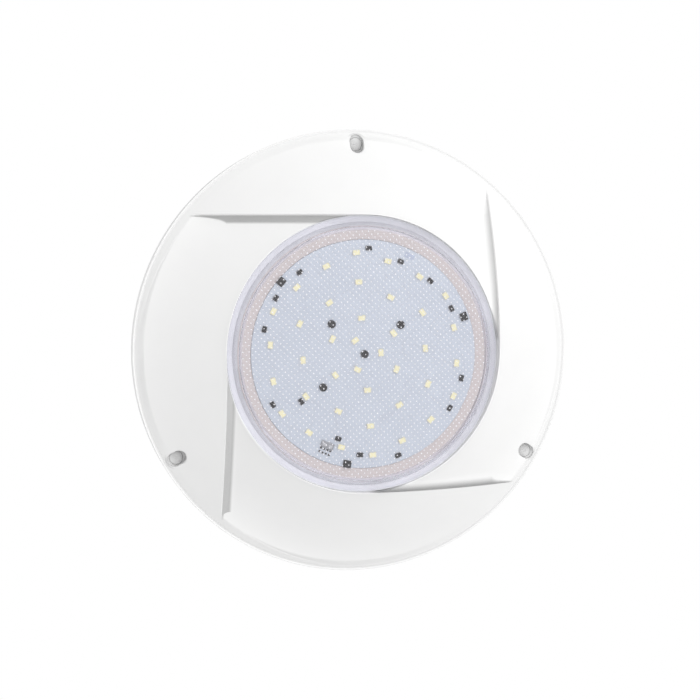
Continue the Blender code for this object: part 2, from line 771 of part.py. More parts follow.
def wire(name, points, radius, sides, mat):
    """A round wire along a path, its sections held square to the path by parallel transport."""
    shape = bmesh.new()
    side = None
    rings = []
    for i, point in enumerate(points):
        before = points[max(i - 1, 0)]
        after = points[min(i + 1, len(points) - 1)]
        tangent = (after - before).normalized()
        if side is None:
            side = tangent.orthogonal().normalized()
        side = (side - tangent * side.dot(tangent)).normalized()
        up = tangent.cross(side)
        ring = []
        for k in range(sides):
            angle = 2 * math.pi * k / sides
            offset = (side * math.cos(angle) + up * math.sin(angle)) * radius
            ring.append(shape.verts.new(point + offset))
        rings.append(ring)
    for ring, following in zip(rings, rings[1:]):
        join_rings(shape, ring, following)
    shape.faces.new(rings[0][::-1])
    shape.faces.new(rings[-1])
    object_of(name, shape, mat, FRONT_UNIT)


def core_path(side):
    """From the tail, through the jacket and gland, across the shell and up to the board."""
    out_x, out_y = polar(1.0, WIRE_ANGLE)
    across = Vector((-out_y, out_x, 0)) * side

    def at(along, height, spread):
        return Vector((out_x * along, out_y * along, height)) + across * spread

    bend_angles = [math.pi / 2 * k / CORE_BEND_STEPS for k in range(CORE_BEND_STEPS + 1)]
    points = [at(0, height, CORE_OFFSET) for height in (CORE_TAIL_H, 20.0, 30.0)]
    for angle in bend_angles[1:]:
        along = CORE_BEND_R * (1 - math.cos(angle))
        height = CORE_LEVEL_H - CORE_BEND_R + CORE_BEND_R * math.sin(angle)
        points.append(at(along, height, CORE_OFFSET))
    points += [at(along, CORE_LEVEL_H, CORE_SPREAD) for along in (20.0, 42.0)]
    for angle in bend_angles:
        along = WIRE_R - CORE_BEND_R + CORE_BEND_R * math.sin(angle)
        height = CORE_LEVEL_H + CORE_BEND_R * (1 - math.cos(angle))
        points.append(at(along, height, CORE_SPREAD))
    points.append(at(WIRE_R, BOARD_H - GAP, CORE_SPREAD))
    return points


def build_cable():
    profile = tube_profile(CABLE_BORE_R, CABLE_R, CABLE_TAIL_H, CABLE_END_H)
    lathe("supply_cable", profile, 20, CABLE_BLUE)
    wire("cable_core_brown", core_path(1), CORE_R, 8, CORE_BROWN)
    wire("cable_core_blue", core_path(-1), CORE_R, 8, CORE_BLUE)


# ---------------------------------------------------------------- fixings and wall bracket


def build_face_fixings():
    """Screws and seals on an empty at each fixing, and the thread inserts in the bracket's posts."""
    spots = [(*polar(FIX_R, angle), 0) for angle in FIX_ANGLES]
    pivots = [empty(f"face_screw_axis_{n}", spot, parent=FRONT_UNIT) for n, spot in enumerate(spots, 1)]
    seal_low = FIX_FLOOR_H + GAP
    seal_top = seal_low + SCREW_SEAL_T
    seat = (0, 0, seal_top + GAP)
    seal = lathe("screw_seal_1", tube_profile(2.8, 4.3, seal_low, seal_top), 20, EPDM, pivots[0])
    first = screw(
        "face_screw_1", STEEL, pivots[0], seat, shank_r=SHANK_R, shank_l=10.6, head_r=HEAD_R,
        head_h=HEAD_H, segments=16, pointed=False, degrees=FACE_SCREW_TURNS[0],
    )
    insert_profile = tube_profile(SHANK_R + GAP, INSERT_R, 0.6, FIX_POST_H - 2 * GAP)
    insert = lathe("thread_insert_1", insert_profile, 20, BRASS, WALL_SIDE, spots[0])
    for i in range(1, len(spots)):
        copy_of(seal, f"screw_seal_{i + 1}", (0, 0, 0), parent=pivots[i])
        copy_of(first, f"face_screw_{i + 1}", seat, FACE_SCREW_TURNS[i], pivots[i])
        copy_of(insert, f"thread_insert_{i + 1}", spots[i])


def build_bracket():
    profile = (
        (BRACKET_HOLE_R, 0),
        (BRACKET_R, 0),
        (BRACKET_R, BRACKET_T),
        (RING_R1, BRACKET_T),
        (RING_R1, RING_H),
        (RING_R0, RING_H),
        (RING_R0, BRACKET_T),
        (HUB_R, BRACKET_T),
        (HUB_R, HUB_H),
        (BRACKET_HOLE_R, HUB_H),
    )
    plate = lathe_shape(profile, ROUND, math.radians(BRACKET_TURN))
    bracket = object_of("wall_bracket", plate, BRACKET_ABS, WALL_SIDE)
    posts, bores = [], []
    for angle in FIX_ANGLES:
        place, turn = (FIX_R, angle), angle + BRACKET_POST_TURN
        posts.append(rod(BRACKET_POST_R, 1.0, FIX_POST_H - GAP, 18, place, turn))
        bores.append(rod(INSERT_R + GAP, -2.0, 12.0, 18, place, turn))
    rib_outline = rectangle(BRACKET_RIB_R0, BRACKET_RIB_R1, BRACKET_RIB_HALF_W)
    ribs = [
        placed(prism_shape(rib_outline, BRACKET_T - 1.0, BRACKET_T + 3.4), (0, 0), 60.0 * k)
        for k in range(6)
    ]
    slots = []
    for place in WALL_SCREW_PLACES:
        slot = prism_shape(slot_outline(WALL_SLOT_HALF_L, WALL_SLOT_HALF_W, steps=6), -2.0, 8.0)
        slots.append(placed(slot, place, place[1] + 90))
    shape_with(
        bracket,
        [("DIFFERENCE", slots), ("UNION", posts), ("DIFFERENCE", bores), ("UNION", ribs)],
    )


def build_wall_screws():
    screw_set(
        "wall_screw", STEEL, WALL_SIDE, WALL_SCREW_PLACES, BRACKET_T + GAP, WALL_SCREW_TURNS,
        shank_r=2.4, shank_l=38.0, head_r=4.6, head_h=2.9, segments=12,
    )


# ---------------------------------------------------------------- assembly

build_fascia()
build_lens()
build_lens_seal()
build_lamp_gasket()
build_shell()
build_spreader()
build_board()
build_clamp_ring()
build_board_screws()
build_clamp_screws()
build_gland_body()
build_gland_washer()
build_gland_locknut()
build_gland_bush()
build_gland_nut()
build_cable()
build_face_fixings()
build_bracket()
build_wall_screws()
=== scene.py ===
"""Looks of the underwater pool light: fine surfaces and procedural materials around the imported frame.

Shapes are built lying on their back in millimetres, (x, y, h) with h the height above the pool
wall, and stand in the row's frame through one rotation: x is the row's +X, y is the row's +Z,
and h points along the row's -Y. Turned shapes are (r, h) outlines round the h axis.
"""

import math

import bmesh
import bpy
from mathutils import Matrix, Vector
from mathutils.geometry import delaunay_2d_cdt


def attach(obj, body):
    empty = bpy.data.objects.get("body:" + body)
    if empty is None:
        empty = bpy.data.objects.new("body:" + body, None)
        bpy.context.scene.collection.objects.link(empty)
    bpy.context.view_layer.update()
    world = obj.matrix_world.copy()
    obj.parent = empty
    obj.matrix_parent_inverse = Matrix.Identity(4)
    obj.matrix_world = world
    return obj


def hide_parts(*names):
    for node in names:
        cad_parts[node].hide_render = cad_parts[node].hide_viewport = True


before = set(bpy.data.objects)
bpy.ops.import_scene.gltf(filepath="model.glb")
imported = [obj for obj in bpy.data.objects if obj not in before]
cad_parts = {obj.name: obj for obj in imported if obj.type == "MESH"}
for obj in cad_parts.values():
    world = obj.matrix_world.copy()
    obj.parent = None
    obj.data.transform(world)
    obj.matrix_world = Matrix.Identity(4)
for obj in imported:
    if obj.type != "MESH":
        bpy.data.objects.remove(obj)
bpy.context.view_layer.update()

MM = 0.001
STAND = Matrix.Rotation(math.pi / 2, 4, "X")
TAU = 2 * math.pi
FINE = 192  # segments round the large turned parts


def on_circle(radius, radians):
    return radius * math.cos(radians), radius * math.sin(radians)


def polar(radius, degrees):
    return on_circle(radius, math.radians(degrees))


# ------------------------------------------------------------------ shared sizes
# Names end in _R for a radius, _H for a height above the wall, _T for a thickness.

GAP = 0.3  # clearance between neighbouring parts

# Fascia: dome, rim, and the four steps of the pinwheel
RECESS_R, RIM_R, LIP_R = 88.7, 145.0, 142.2
RIM_H, RIM_BACK_H = 14.0, 0.8
DOME_TOP_H, DOME_SLOPE, DOME_CURVE = 49.1, 0.55, 0.00188
STEP, STEP_END, COVE = 6.5, 106.0, 5.0  # step height, its length, and the cove's width
SHELL_T, SKIRT_WALL = 3.0, 2.6
LEDGE_H, LEDGE_T, LEDGE_R = 34.2, 3.0, 80.4

# Face screws and their slotted counterbores
FIX_R, FIX_ANGLES = 135.4, (90.0, 210.0, 330.0)
FIX_SPOTS = [polar(FIX_R, angle) for angle in FIX_ANGLES]
FIX_FLOOR_H, FIX_POST_H = 10.2, 7.2
SINK_H = 13.4  # floor of the slotted recess round each face screw
CBORE_HALF_W, CBORE_HALF_L, SHANK_HOLE_R = 4.6, 6.2, 2.9
WASHER_T = 1.0

# Lens
LAMP_R, LENS_TOP_H, LENS_FLANGE_T = 88.0, 42.2, 2.8
FLANK_R0, FLANK_R1 = 84.3, 80.8  # the flank's foot and its top
WINDOW_H, WINDOW_CROWN, LENS_T = 47.8, 2.2, 2.7
SEAL_T = 1.0
SEAL_TOP_H = LENS_TOP_H - LENS_FLANGE_T - GAP

# Lamp shell, spreader and board
SHELL_BACK_H, SHELL_FLOOR_T = 24.0, 2.2
BOARD_R, BOARD_H, BOARD_T = 73.0, 42.0, 1.6
BOARD_TOP = BOARD_H + BOARD_T
SPREADER_TOP, SPREADER_T = BOARD_H - GAP, 2.2
BOARD_SPOTS = [polar(*spot) for spot in ((0.0, 0.0), (28.8, 138.0), (30.0, 38.5), (34.0, 218.0))]
CLAMP_SPOTS = [polar(66.5, 45.0 + 90.0 * k) for k in range(4)]
WIRE_R, WIRE_ANGLE = 65.0, 249.0

# Wall bracket
BRACKET_T = 3.0
WALL_R, WALL_ANGLES = 105.0, (45.0, 135.0, 225.0, 315.0)

# Gland
GLAND_WASHER_T = 1.0
COLLAR_TOP = SHELL_BACK_H - GAP - GLAND_WASHER_T - GAP
COLLAR_T = 4.4


# ------------------------------------------------------------------ shader node helpers


def rgba(color):
    return (*color, 1) if isinstance(color, tuple) else color


class Nodes:
    """Builds shader nodes in the tree of a material or a world."""

    def __init__(self, owner):
        owner.use_nodes = True
        self.tree = owner.node_tree

    def feed(self, socket, value):
        """Links a socket to another, or sets its value."""
        if isinstance(value, bpy.types.NodeSocket):
            self.tree.links.new(value, socket)
        else:
            socket.default_value = value

    def node(self, kind, inputs=None, **settings):
        made = self.tree.nodes.new(kind)
        for key, value in settings.items():
            setattr(made, key, value)
        for key, value in (inputs or {}).items():
            self.feed(made.inputs[key], value)
        return made

    def calc(self, operation, *values):
        return self.node("ShaderNodeMath", dict(enumerate(values)), operation=operation).outputs[0]

    def times(self, a, b):
        return self.calc("MULTIPLY", a, b)

    def in_mm(self, length):
        return self.times(length, 1000.0)

    def length(self, x, y):
        return self.calc("SQRT", self.calc("ADD", self.times(x, x), self.times(y, y)))

    def largest(self, values):
        most = values[0]
        for value in values[1:]:
            most = self.calc("MAXIMUM", most, value)
        return most

    def span(self, value, low, high, start=0.3, end=0.7):
        """Goes from low to high as value goes from start to end. The defaults suit noise."""
        inputs = {"Value": value, "From Min": start, "From Max": end, "To Min": low, "To Max": high}
        return self.node("ShaderNodeMapRange", inputs).outputs["Result"]

    def rise(self, value, start, end):
        return self.span(value, 0.0, 1.0, start, end)

    def fall(self, value, start, end):
        return self.span(value, 1.0, 0.0, start, end)

    def mix(self, share, a, b):
        """Colour a shading into colour b."""
        inputs = {0: share, 6: rgba(a), 7: rgba(b)}
        return self.node("ShaderNodeMix", inputs, data_type="RGBA").outputs[2]

    def mix_shader(self, share, a, b):
        return self.node("ShaderNodeMixShader", {0: share, 1: a, 2: b}).outputs[0]


class Finish(Nodes):
    """A Principled material whose colour, roughness and bump come from nodes in object space."""

    def __init__(self, name, color, rough, metal=0.0):
        self.mat = bpy.data.materials.new(name)
        super().__init__(self.mat)
        self.bsdf = self.tree.nodes["Principled BSDF"]
        self.feed(self.bsdf.inputs["Base Color"], rgba(color))
        self.feed(self.bsdf.inputs["Roughness"], rough)
        self.feed(self.bsdf.inputs["Metallic"], metal)
        self.color, self.rough = color, rough
        self.coord = self.node("ShaderNodeTexCoord").outputs["Object"]

    def noise(self, per_mm, detail=3.0, seed=0.0):
        """Noise with features about 1 / per_mm millimetres across."""
        inputs = {"Scale": per_mm * 1000, "Detail": detail, "Roughness": 0.55}
        noise = self.node("ShaderNodeTexNoise", inputs)
        place_in = {"Location": (seed, seed * 0.7, seed * 0.3), "Vector": self.coord}
        mapping = self.node("ShaderNodeMapping", place_in)
        self.feed(noise.inputs["Vector"], mapping.outputs["Vector"])
        return noise.outputs["Fac"]

    def axes(self):
        return self.node("ShaderNodeSeparateXYZ", {0: self.coord}).outputs

    def radius(self):
        """Distance from the object's own local Z axis, in metres."""
        x, y, _ = self.axes()
        return self.length(x, y)

    def colour(self, out):
        self.last = out
        self.feed(self.bsdf.inputs["Base Color"], out)

    def vary(self, amount, per_mm, detail=4, seed=0.0):
        """Lighter and darker by amount, in patches."""
        dark = tuple(c * (1 - amount) for c in self.color)
        light = tuple(c * (1 + amount) for c in self.color)
        self.colour(self.mix(self.span(self.noise(per_mm, detail, seed), 0, 1), dark, light))

    def roughness(self, spread, per_mm):
        noise = self.noise(per_mm, detail=4, seed=3.0)
        out = self.span(noise, self.rough - spread, self.rough + spread)
        self.feed(self.bsdf.inputs["Roughness"], out)

    def bump(self, height, strength, distance_mm):
        inputs = {"Strength": strength, "Distance": distance_mm * MM, "Height": height}
        bump = self.node("ShaderNodeBump", inputs)
        self.feed(self.bsdf.inputs["Normal"], bump.outputs["Normal"])


# ------------------------------------------------------------------ kinds of finish


def plastic(name, color, rough, patch=0.015, grain=1.6, peel=0.012):
    """Patches of slightly different tone, and a grain per mm with peel mm of relief."""
    f = Finish(name, color, rough)
    f.vary(patch, per_mm=0.05, seed=1.3)
    f.roughness(spread=0.05, per_mm=0.12)
    f.bump(f.noise(grain, seed=5.1), strength=0.35, distance_mm=peel)
    return f


def turned_metal(name, color, rough, lines=9.0):
    """Metal with fine turning rings round its own axis, about lines of them per mm."""
    f = Finish(name, color, rough, metal=1.0)
    inputs = {"Scale": lines * 1000, "Detail": 4, "W": f.radius()}
    ring = f.node("ShaderNodeTexNoise", inputs, noise_dimensions="1D").outputs["Fac"]
    dark, light = (tuple(c * gain for c in color) for gain in (0.88, 1.06))
    f.colour(f.mix(f.span(ring, 0, 1), dark, light))
    f.feed(f.bsdf.inputs["Roughness"], f.span(ring, low=rough - 0.07, high=rough + 0.1))
    f.bump(ring, strength=0.25, distance_mm=0.01)
    return f


def rubber(name, color, rough):
    f = Finish(name, color, rough)
    f.vary(amount=0.22, per_mm=0.12, detail=5, seed=2.2)
    f.roughness(spread=0.08, per_mm=0.4)
    f.bump(f.noise(per_mm=2.4, detail=5, seed=4.4), strength=0.5, distance_mm=0.03)
    return f


def mottled(name, color, rough, metal=0.0, *, tone, spread):
    """A smooth finish. tone and spread are (amount, per mm) of its colour and roughness."""
    f = Finish(name, color, rough, metal)
    f.vary(*tone)
    f.roughness(*spread)
    return f


# ------------------------------------------------------------------ special finishes


def painted_riser_shade(f, across, along, full, gone, strength, taper, start):
    """Painted shade of one pinwheel riser: grey that stands in for the shade in its cove. Its numbers
    are the columns of moulded_white's table.
    """
    inside = f.in_mm(f.calc("SUBTRACT", RECESS_R * MM, across))
    t = f.in_mm(along)
    narrow = f.span(t, low=1.0, high=3.5, start=STEP_END - taper, end=STEP_END - 1.0)
    foot = f.fall(f.times(inside, narrow), full, gone)
    crest = f.rise(inside, start, start + 0.35)
    near_end = f.span(t, low=0.0, high=strength, start=2.0, end=9.0)
    ends = f.times(near_end, f.fall(t, STEP_END - 1.0, STEP_END + 3.0))
    return f.times(f.times(foot, crest), ends)


def painted_sink_shade(f, x, y, h):
    """Painted shade: a mask of the lower part of the recesses round the face screws, which get a flat
    grey.
    """
    near = []
    for cx, cy in (polar(FIX_R * MM, angle) for angle in FIX_ANGLES):
        far = f.length(f.calc("SUBTRACT", x, cx), f.calc("SUBTRACT", y, cy))
        near.append(f.fall(f.in_mm(far), start=7.0, end=7.6))
    return f.times(f.largest(near), f.fall(f.in_mm(h), SINK_H + 1.2, SINK_H + 2.6))


def moulded_white():
    """White ABS. Grey painted shade, mottled by noise, lies on the four risers of the pinwheel, in the
    rim's groove and in the lower part of the screw recesses.
    """
    f = plastic("abs_white", (0.85, 0.85, 0.848), rough=0.4, patch=0.008, grain=1.2, peel=0.006)
    x, y, h = f.axes()
    back_x, back_y = f.times(x, -1.0), f.times(y, -1.0)
    # Across and along each riser, where the painted shade is full and gone (mm from the crest line),
    # its strength, the length of its taper (mm), and where it starts (mm from the crest line).
    risers = (
        (x, y, 0.0, 3.8, 0.8, 16.0, 0.3),
        (y, back_x, 4.75, 6.3, 1.0, 20.0, 0.55),
        (back_x, back_y, 5.0, 6.6, 0.84, 3.0, 0.3),
        (back_y, x, 0.8, 5.2, 1.33, 14.0, -0.2),
    )
    shade = f.largest([painted_riser_shade(f, *riser) for riser in risers])
    # Noise that varies the strength of the painted shade.
    grain = f.span(f.noise(per_mm=1.1, detail=4, seed=9.0), low=0.92, high=1.0)
    # Painted shade: a thin grey ring in the rim's groove, darker towards the bottom of the fascia
    off_ring = f.calc("ABSOLUTE", f.calc("SUBTRACT", f.in_mm(f.radius()), LIP_R + 1.15))
    groove_shade_depth = f.span(y, low=0.34, high=0.14, start=-0.14, end=0.10)
    ring = f.times(f.fall(off_ring, start=0.35, end=0.75), groove_shade_depth)
    shade = f.calc("MAXIMUM", shade, ring)
    recess_shade_mask = painted_sink_shade(f, x, y, h)
    # Dark grey painted shade on the risers and on the groove ring.
    with_painted_shade = f.mix(f.times(shade, f.times(grain, 0.75)), f.last, (0.28, 0.28, 0.28))
    # Flat grey painted shade in the lower part of the screw recesses.
    f.colour(f.mix(f.times(recess_shade_mask, grain), with_painted_shade, (0.66, 0.66, 0.66)))
    return f


def shell_plastic():
    """Off-white polypropylene, warmer on the front rim that faces the lens."""
    f = plastic("polypropylene", (0.86, 0.865, 0.885), rough=0.45, patch=0.02)
    rim = f.rise(f.in_mm(f.axes()[2]), start=42.6, end=43.0)
    f.colour(f.mix(rim, f.last, (0.64, 0.585, 0.57)))
    return f


def solder_mask():
    """Bluish-white board finish with faint copper areas under it."""
    f = Finish("solder_mask", (0.59, 0.645, 0.712), rough=0.36)
    inputs = {"Scale": 75, "Vector": f.coord}
    cells = f.node("ShaderNodeTexVoronoi", inputs, feature="DISTANCE_TO_EDGE")
    gap = f.fall(cells.outputs["Distance"], start=0.012, end=0.03)
    patches = f.span(f.noise(per_mm=0.04, detail=4), 0, 1)
    base = f.mix(patches, (0.58, 0.635, 0.702), (0.60, 0.655, 0.722))
    f.colour(f.mix(f.times(gap, 0.35), base, (0.53, 0.57, 0.635)))
    f.roughness(spread=0.06, per_mm=0.5)
    f.bump(gap, strength=0.3, distance_mm=0.03)
    return f


def window_corner(f, soft):
    """Share of painted light at the moulded corner where the window meets the flank."""
    x, y, h = f.axes()
    squares = f.calc("ADD", f.times(x, x), f.times(y, y))
    radius = f.in_mm(f.calc("POWER", squares, 0.5))
    corner = f.times(f.rise(radius, start=78.7, end=79.3), f.fall(radius, start=80.3, end=80.8))
    corner = f.times(corner, f.calc("GREATER_THAN", h, (WINDOW_H - LENS_T - 0.5) * MM))
    most = 0.6
    return f.times(corner, f.calc("SUBTRACT", most, f.times(soft, most)))


def clear_polycarbonate():
    """Clear plastic, faintly lavender. Shadow and soft bounce rays pass straight through it."""
    f = Finish("polycarbonate", (0.95, 0.94, 0.97), rough=0.03)
    f.tree.nodes.remove(f.bsdf)
    tone = f.span(f.noise(per_mm=0.02), 0, 1)
    glass = f.node("ShaderNodeBsdfGlass", {
        "IOR": 1.585,
        "Color": f.mix(tone, (0.972, 0.968, 0.982), (0.98, 0.976, 0.988)),
        "Roughness": f.span(f.noise(per_mm=0.15, seed=2.0), low=0.0, high=0.008),
    })
    clear = f.node("ShaderNodeBsdfTransparent", {"Color": (0.95, 0.948, 0.958, 1)})
    path = f.node("ShaderNodeLightPath").outputs
    soft = f.calc("MAXIMUM", path["Is Shadow Ray"], path["Is Diffuse Ray"])
    body = f.mix_shader(soft, glass.outputs[0], clear.outputs[0])
    # Painted light: a flat mauve-grey diffuse band at the window's inner corner stands in for the soft
    # line that light through the clear corner shows. Shadow and bounce rays get none of it.
    corner = window_corner(f, soft)
    corner_painted_light = f.node("ShaderNodeBsdfDiffuse", {"Color": (0.60, 0.565, 0.61, 1)})
    surface = f.mix_shader(corner, body, corner_painted_light.outputs[0])
    f.feed(f.tree.nodes["Material Output"].inputs["Surface"], surface)
    return f


# ------------------------------------------------------------------ the materials

ABS = moulded_white()
BRACKET = plastic("abs_matt", (0.80, 0.80, 0.795), rough=0.5, patch=0.02, grain=2.6, peel=0.03)
SHELL = shell_plastic()
SILICONE = plastic("silicone", (0.84, 0.85, 0.885), rough=0.5, patch=0.03)
NYLON = plastic("nylon_grey", (0.27, 0.28, 0.29), rough=0.45, patch=0.05, grain=1.0, peel=0.02)
EPDM = rubber("epdm", (0.028, 0.028, 0.03), rough=0.7)
JACKET = rubber("cable_jacket", (0.02, 0.10, 0.26), rough=0.5)
CORE_BROWN = plastic("core_brown", (0.16, 0.06, 0.025), rough=0.4, patch=0.06)
CORE_BLUE = plastic("core_blue", (0.02, 0.10, 0.42), rough=0.4, patch=0.06)
STEEL = turned_metal("stainless", (0.60, 0.60, 0.60), rough=0.3)
BRASS = turned_metal("brass", (0.72, 0.52, 0.22), rough=0.28)
COATED = plastic("coated_steel", (0.70, 0.70, 0.70), rough=0.55, patch=0.04, grain=2.0, peel=0.02)
SEAT_RUBBER = rubber("epdm_grey", (0.30, 0.30, 0.31), rough=0.6)
WASHER = rubber("washer_grey", (0.80, 0.80, 0.80), rough=0.6)
COPPER = turned_metal("copper", (0.78, 0.38, 0.22), rough=0.3)
ALUMINIUM = turned_metal("aluminium", (0.74, 0.75, 0.76), rough=0.36, lines=2.0)
TIN = mottled("tin_plate", (0.66, 0.67, 0.68), rough=0.34, metal=1.0,
              tone=(0.1, 0.8), spread=(0.08, 1.5))
BLACK_STEEL = mottled("black_oxide", (0.006, 0.006, 0.008), rough=0.6,
                      tone=(0.3, 1.2), spread=(0.1, 2.0))
EPOXY = plastic("black_epoxy", (0.008, 0.008, 0.011), rough=0.7, patch=0.2, grain=4.0, peel=0.02)
LED_BODY = plastic("led_package", (0.86, 0.82, 0.66), rough=0.4, patch=0.02)
PHOSPHOR = mottled("phosphor", (0.93, 0.89, 0.58), rough=0.5, tone=(0.06, 1.4), spread=(0.05, 2.0))
TERMINAL = plastic("terminal_nylon", (0.34, 0.35, 0.37), rough=0.45, patch=0.04)
MASK = solder_mask()
MASK_DARK = mottled("solder_mask_pad", (0.50, 0.56, 0.68), rough=0.4,
                    tone=(0.05, 0.3), spread=(0.05, 0.8))
PC = clear_polycarbonate()
# Painted highlight: a white diffuse finish on the studs' facets that stands in for the bright glints of
# the prisms.
PC_PAINTED_HIGHLIGHT = plastic("polycarbonate_painted_highlight", (0.93, 0.93, 0.95), rough=0.6,
                   patch=0.02, grain=3.0, peel=0.01)


# ------------------------------------------------------------------ mesh helpers
# "Shape data" is (points in mm, faces), with an optional third item: one material number,
# or for a finished mesh a list with the number of each face.


def smooth(mesh, angle):
    """Smooth shading with corners sharper than angle kept."""
    mesh.shade_smooth()
    mesh.set_sharp_from_angle(angle=math.radians(angle))


def clean(mesh, merge=True, heal=False):
    """Turns the faces out, after merging doubled points and filling sliver holes if asked."""
    bm = bmesh.new()
    bm.from_mesh(mesh)
    if merge:
        bmesh.ops.remove_doubles(bm, verts=bm.verts, dist=2e-6)
    if heal:
        bmesh.ops.dissolve_degenerate(bm, edges=bm.edges, dist=2e-6)
        loose = [e for e in bm.edges if not e.link_faces]
        bmesh.ops.delete(bm, geom=loose, context="EDGES")
        open_edges = [e for e in bm.edges if len(e.link_faces) == 1]
        bmesh.ops.holes_fill(bm, edges=open_edges, sides=0)
    bmesh.ops.recalc_face_normals(bm, faces=bm.faces)
    bm.to_mesh(mesh)
    bm.free()


def raw_mesh(name, data):
    mesh = bpy.data.meshes.new(name)
    mesh.from_pydata([tuple(c * MM for c in v) for v in data[0]], [], data[1])
    return mesh


def mesh_of(name, data, *finishes, angle=32.0):
    """A mesh from shape data, cleaned, facing out, smooth with sharp corners kept."""
    mesh = raw_mesh(name, data)
    for finish in finishes:
        mesh.materials.append(finish.mat)
    if len(data) > 2:
        mesh.polygons.foreach_set("material_index", data[2])
    clean(mesh)
    smooth(mesh, angle)
    mesh.update()
    return mesh


def place(name, mesh, stands_for=None, body="front_unit", at=(0, 0, 0), turn=0.0):
    obj = bpy.data.objects.new(name, mesh)
    bpy.context.scene.collection.objects.link(obj)
    spin = Matrix.Rotation(math.radians(turn), 4, "Z")
    obj.matrix_world = STAND @ Matrix.Translation(Vector(at) * MM) @ spin
    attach(obj, body)
    if stands_for:
        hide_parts(stands_for)


def moved(points, at=(0, 0, 0), degrees=0.0):
    """Points turned about the axis, then shifted."""
    c, s = math.cos(math.radians(degrees)), math.sin(math.radians(degrees))
    return [(x * c - y * s + at[0], x * s + y * c + at[1], h + at[2]) for x, y, h in points]


def shifted(data, at=(0, 0, 0), degrees=0.0):
    return (moved(data[0], at, degrees), *data[1:])


def joined(parts):
    """Several shapes as one, with the material number of each face."""
    verts, faces, marks = [], [], []
    for part_verts, part_faces, *mark in parts:
        base = len(verts)
        verts += part_verts
        faces += [tuple(i + base for i in face) for face in part_faces]
        marks += (mark or [0]) * len(part_faces)
    return verts, faces, marks


def corner_arc(before, corner, after, radius, steps):
    """Points of the arc that rounds one corner, or the corner itself if it is nearly straight."""
    a, b, p = Vector(before), Vector(after), Vector(corner)
    u, v = a - p, b - p
    lu, lv = u.length, v.length
    if lu < 1e-6 or lv < 1e-6:
        return [corner]
    u, v = u / lu, v / lv
    half = math.acos(max(-1.0, min(1.0, u.dot(v)))) / 2
    if half > math.radians(84):
        return [corner]
    cut = min(radius / math.tan(half), 0.45 * lu, 0.45 * lv)
    centre = p + (u + v).normalized() * (cut * math.tan(half) / math.sin(half))
    start, end = p + u * cut - centre, p + v * cut - centre
    turn = start.angle_signed(end)
    arc = []
    for k in range(steps + 1):
        c, s = math.cos(-turn * k / steps), math.sin(-turn * k / steps)
        arc.append((centre.x + start.x * c - start.y * s, centre.y + start.x * s + start.y * c))
    return arc


def fillet(profile, radius, steps=4, closed=True):
    """Rounds the corners of a (r, h) outline. A third number on a point is its own radius."""
    out, count = [], len(profile)
    for i, (r, h, *own) in enumerate(profile):
        rounding = own[0] if own else radius
        if (not closed and i in (0, count - 1)) or rounding <= 0 or r < 1e-9:
            out.append((r, h))
            continue
        before, after = profile[i - 1][:2], profile[(i + 1) % count][:2]
        out += corner_arc(before, (r, h), after, rounding, steps)
    return out


def ring_of(radii, h, turn=0.0):
    """Points at height h, evenly spaced round the axis, at the given radii."""
    count = len(radii)
    return [(*on_circle(r, TAU * k / count + turn), h) for k, r in enumerate(radii)]


def hex_radii(flat, segments, corner):
    """Radii of a hexagon with flats at radius flat and corners cut off at corner x flat."""
    angles = [TAU * k / segments % (math.pi / 3) - math.pi / 6 for k in range(segments)]
    return [min(flat / math.cos(a), flat * corner) for a in angles]


def zigzag(turns):
    """1 at every whole turn, 0 half way between."""
    return abs((turns % 1.0) * 2 - 1)


def at_height(outline, h):
    return [(x, y, h) for x, y in outline]


def loft(rings, closed=False, bottom=False, top=False):
    """Quads between rings of equal count. Closed joins the last ring to the first."""
    size, count = len(rings[0]), len(rings)
    faces = []
    if bottom:
        faces.append(tuple(range(size))[::-1])
    if top:
        faces.append(tuple(range((count - 1) * size, count * size)))
    for i in range(count if closed else count - 1):
        low, high = i * size, (i + 1) % count * size
        for k in range(size):
            j = (k + 1) % size
            faces.append((low + k, low + j, high + j, high + k))
    return [point for ring in rings for point in ring], faces


def lathe(profile, segments=FINE, turn=0.0, closed=True):
    """A (r, h) outline turned about the axis. A third value "hex" makes a ring hexagonal."""
    verts, rings = [], []
    for r, h, *hexagonal in profile:
        if r < 1e-9:
            points = [(0.0, 0.0, h)]
        else:
            radii = hex_radii(r, segments, corner=1.125) if hexagonal else [r] * segments
            points = ring_of(radii, h, turn)
        rings.append(range(len(verts), len(verts) + len(points)))
        verts += points
    faces = []
    for i in range(len(rings) if closed else len(rings) - 1):
        a, b = rings[i], rings[(i + 1) % len(rings)]
        if len(a) == 1 and len(b) == 1:
            continue
        for k in range(segments):
            j = (k + 1) % segments
            if len(a) == 1:
                faces.append((a[0], b[j], b[k]))
            elif len(b) == 1:
                faces.append((a[k], a[j], b[0]))
            else:
                faces.append((a[k], a[j], b[j], b[k]))
    return verts, faces


def section(inner, outer, low, high):
    """Rectangular (r, h) outline."""
    return [(inner, low), (outer, low), (outer, high), (inner, high)]


def lathe_mesh(name, profile, finish, segments=FINE, radius=0.25):
    return mesh_of(name, lathe(fillet(profile, radius), segments), finish)


def cylinder(radius, low, high, segments):
    return lathe(section(0, radius, low, high), segments)


def cylinders(spots, radius, low, high, segments):
    """The same upright cylinder at each (x, y) spot."""
    return [shifted(cylinder(radius, low, high, segments), (x, y, 0)) for x, y in spots]


def prism(outline, low, high, low_scale=1.0):
    foot = [(x * low_scale, y * low_scale, low) for x, y in outline]
    return loft([foot, at_height(outline, high)], bottom=True, top=True)


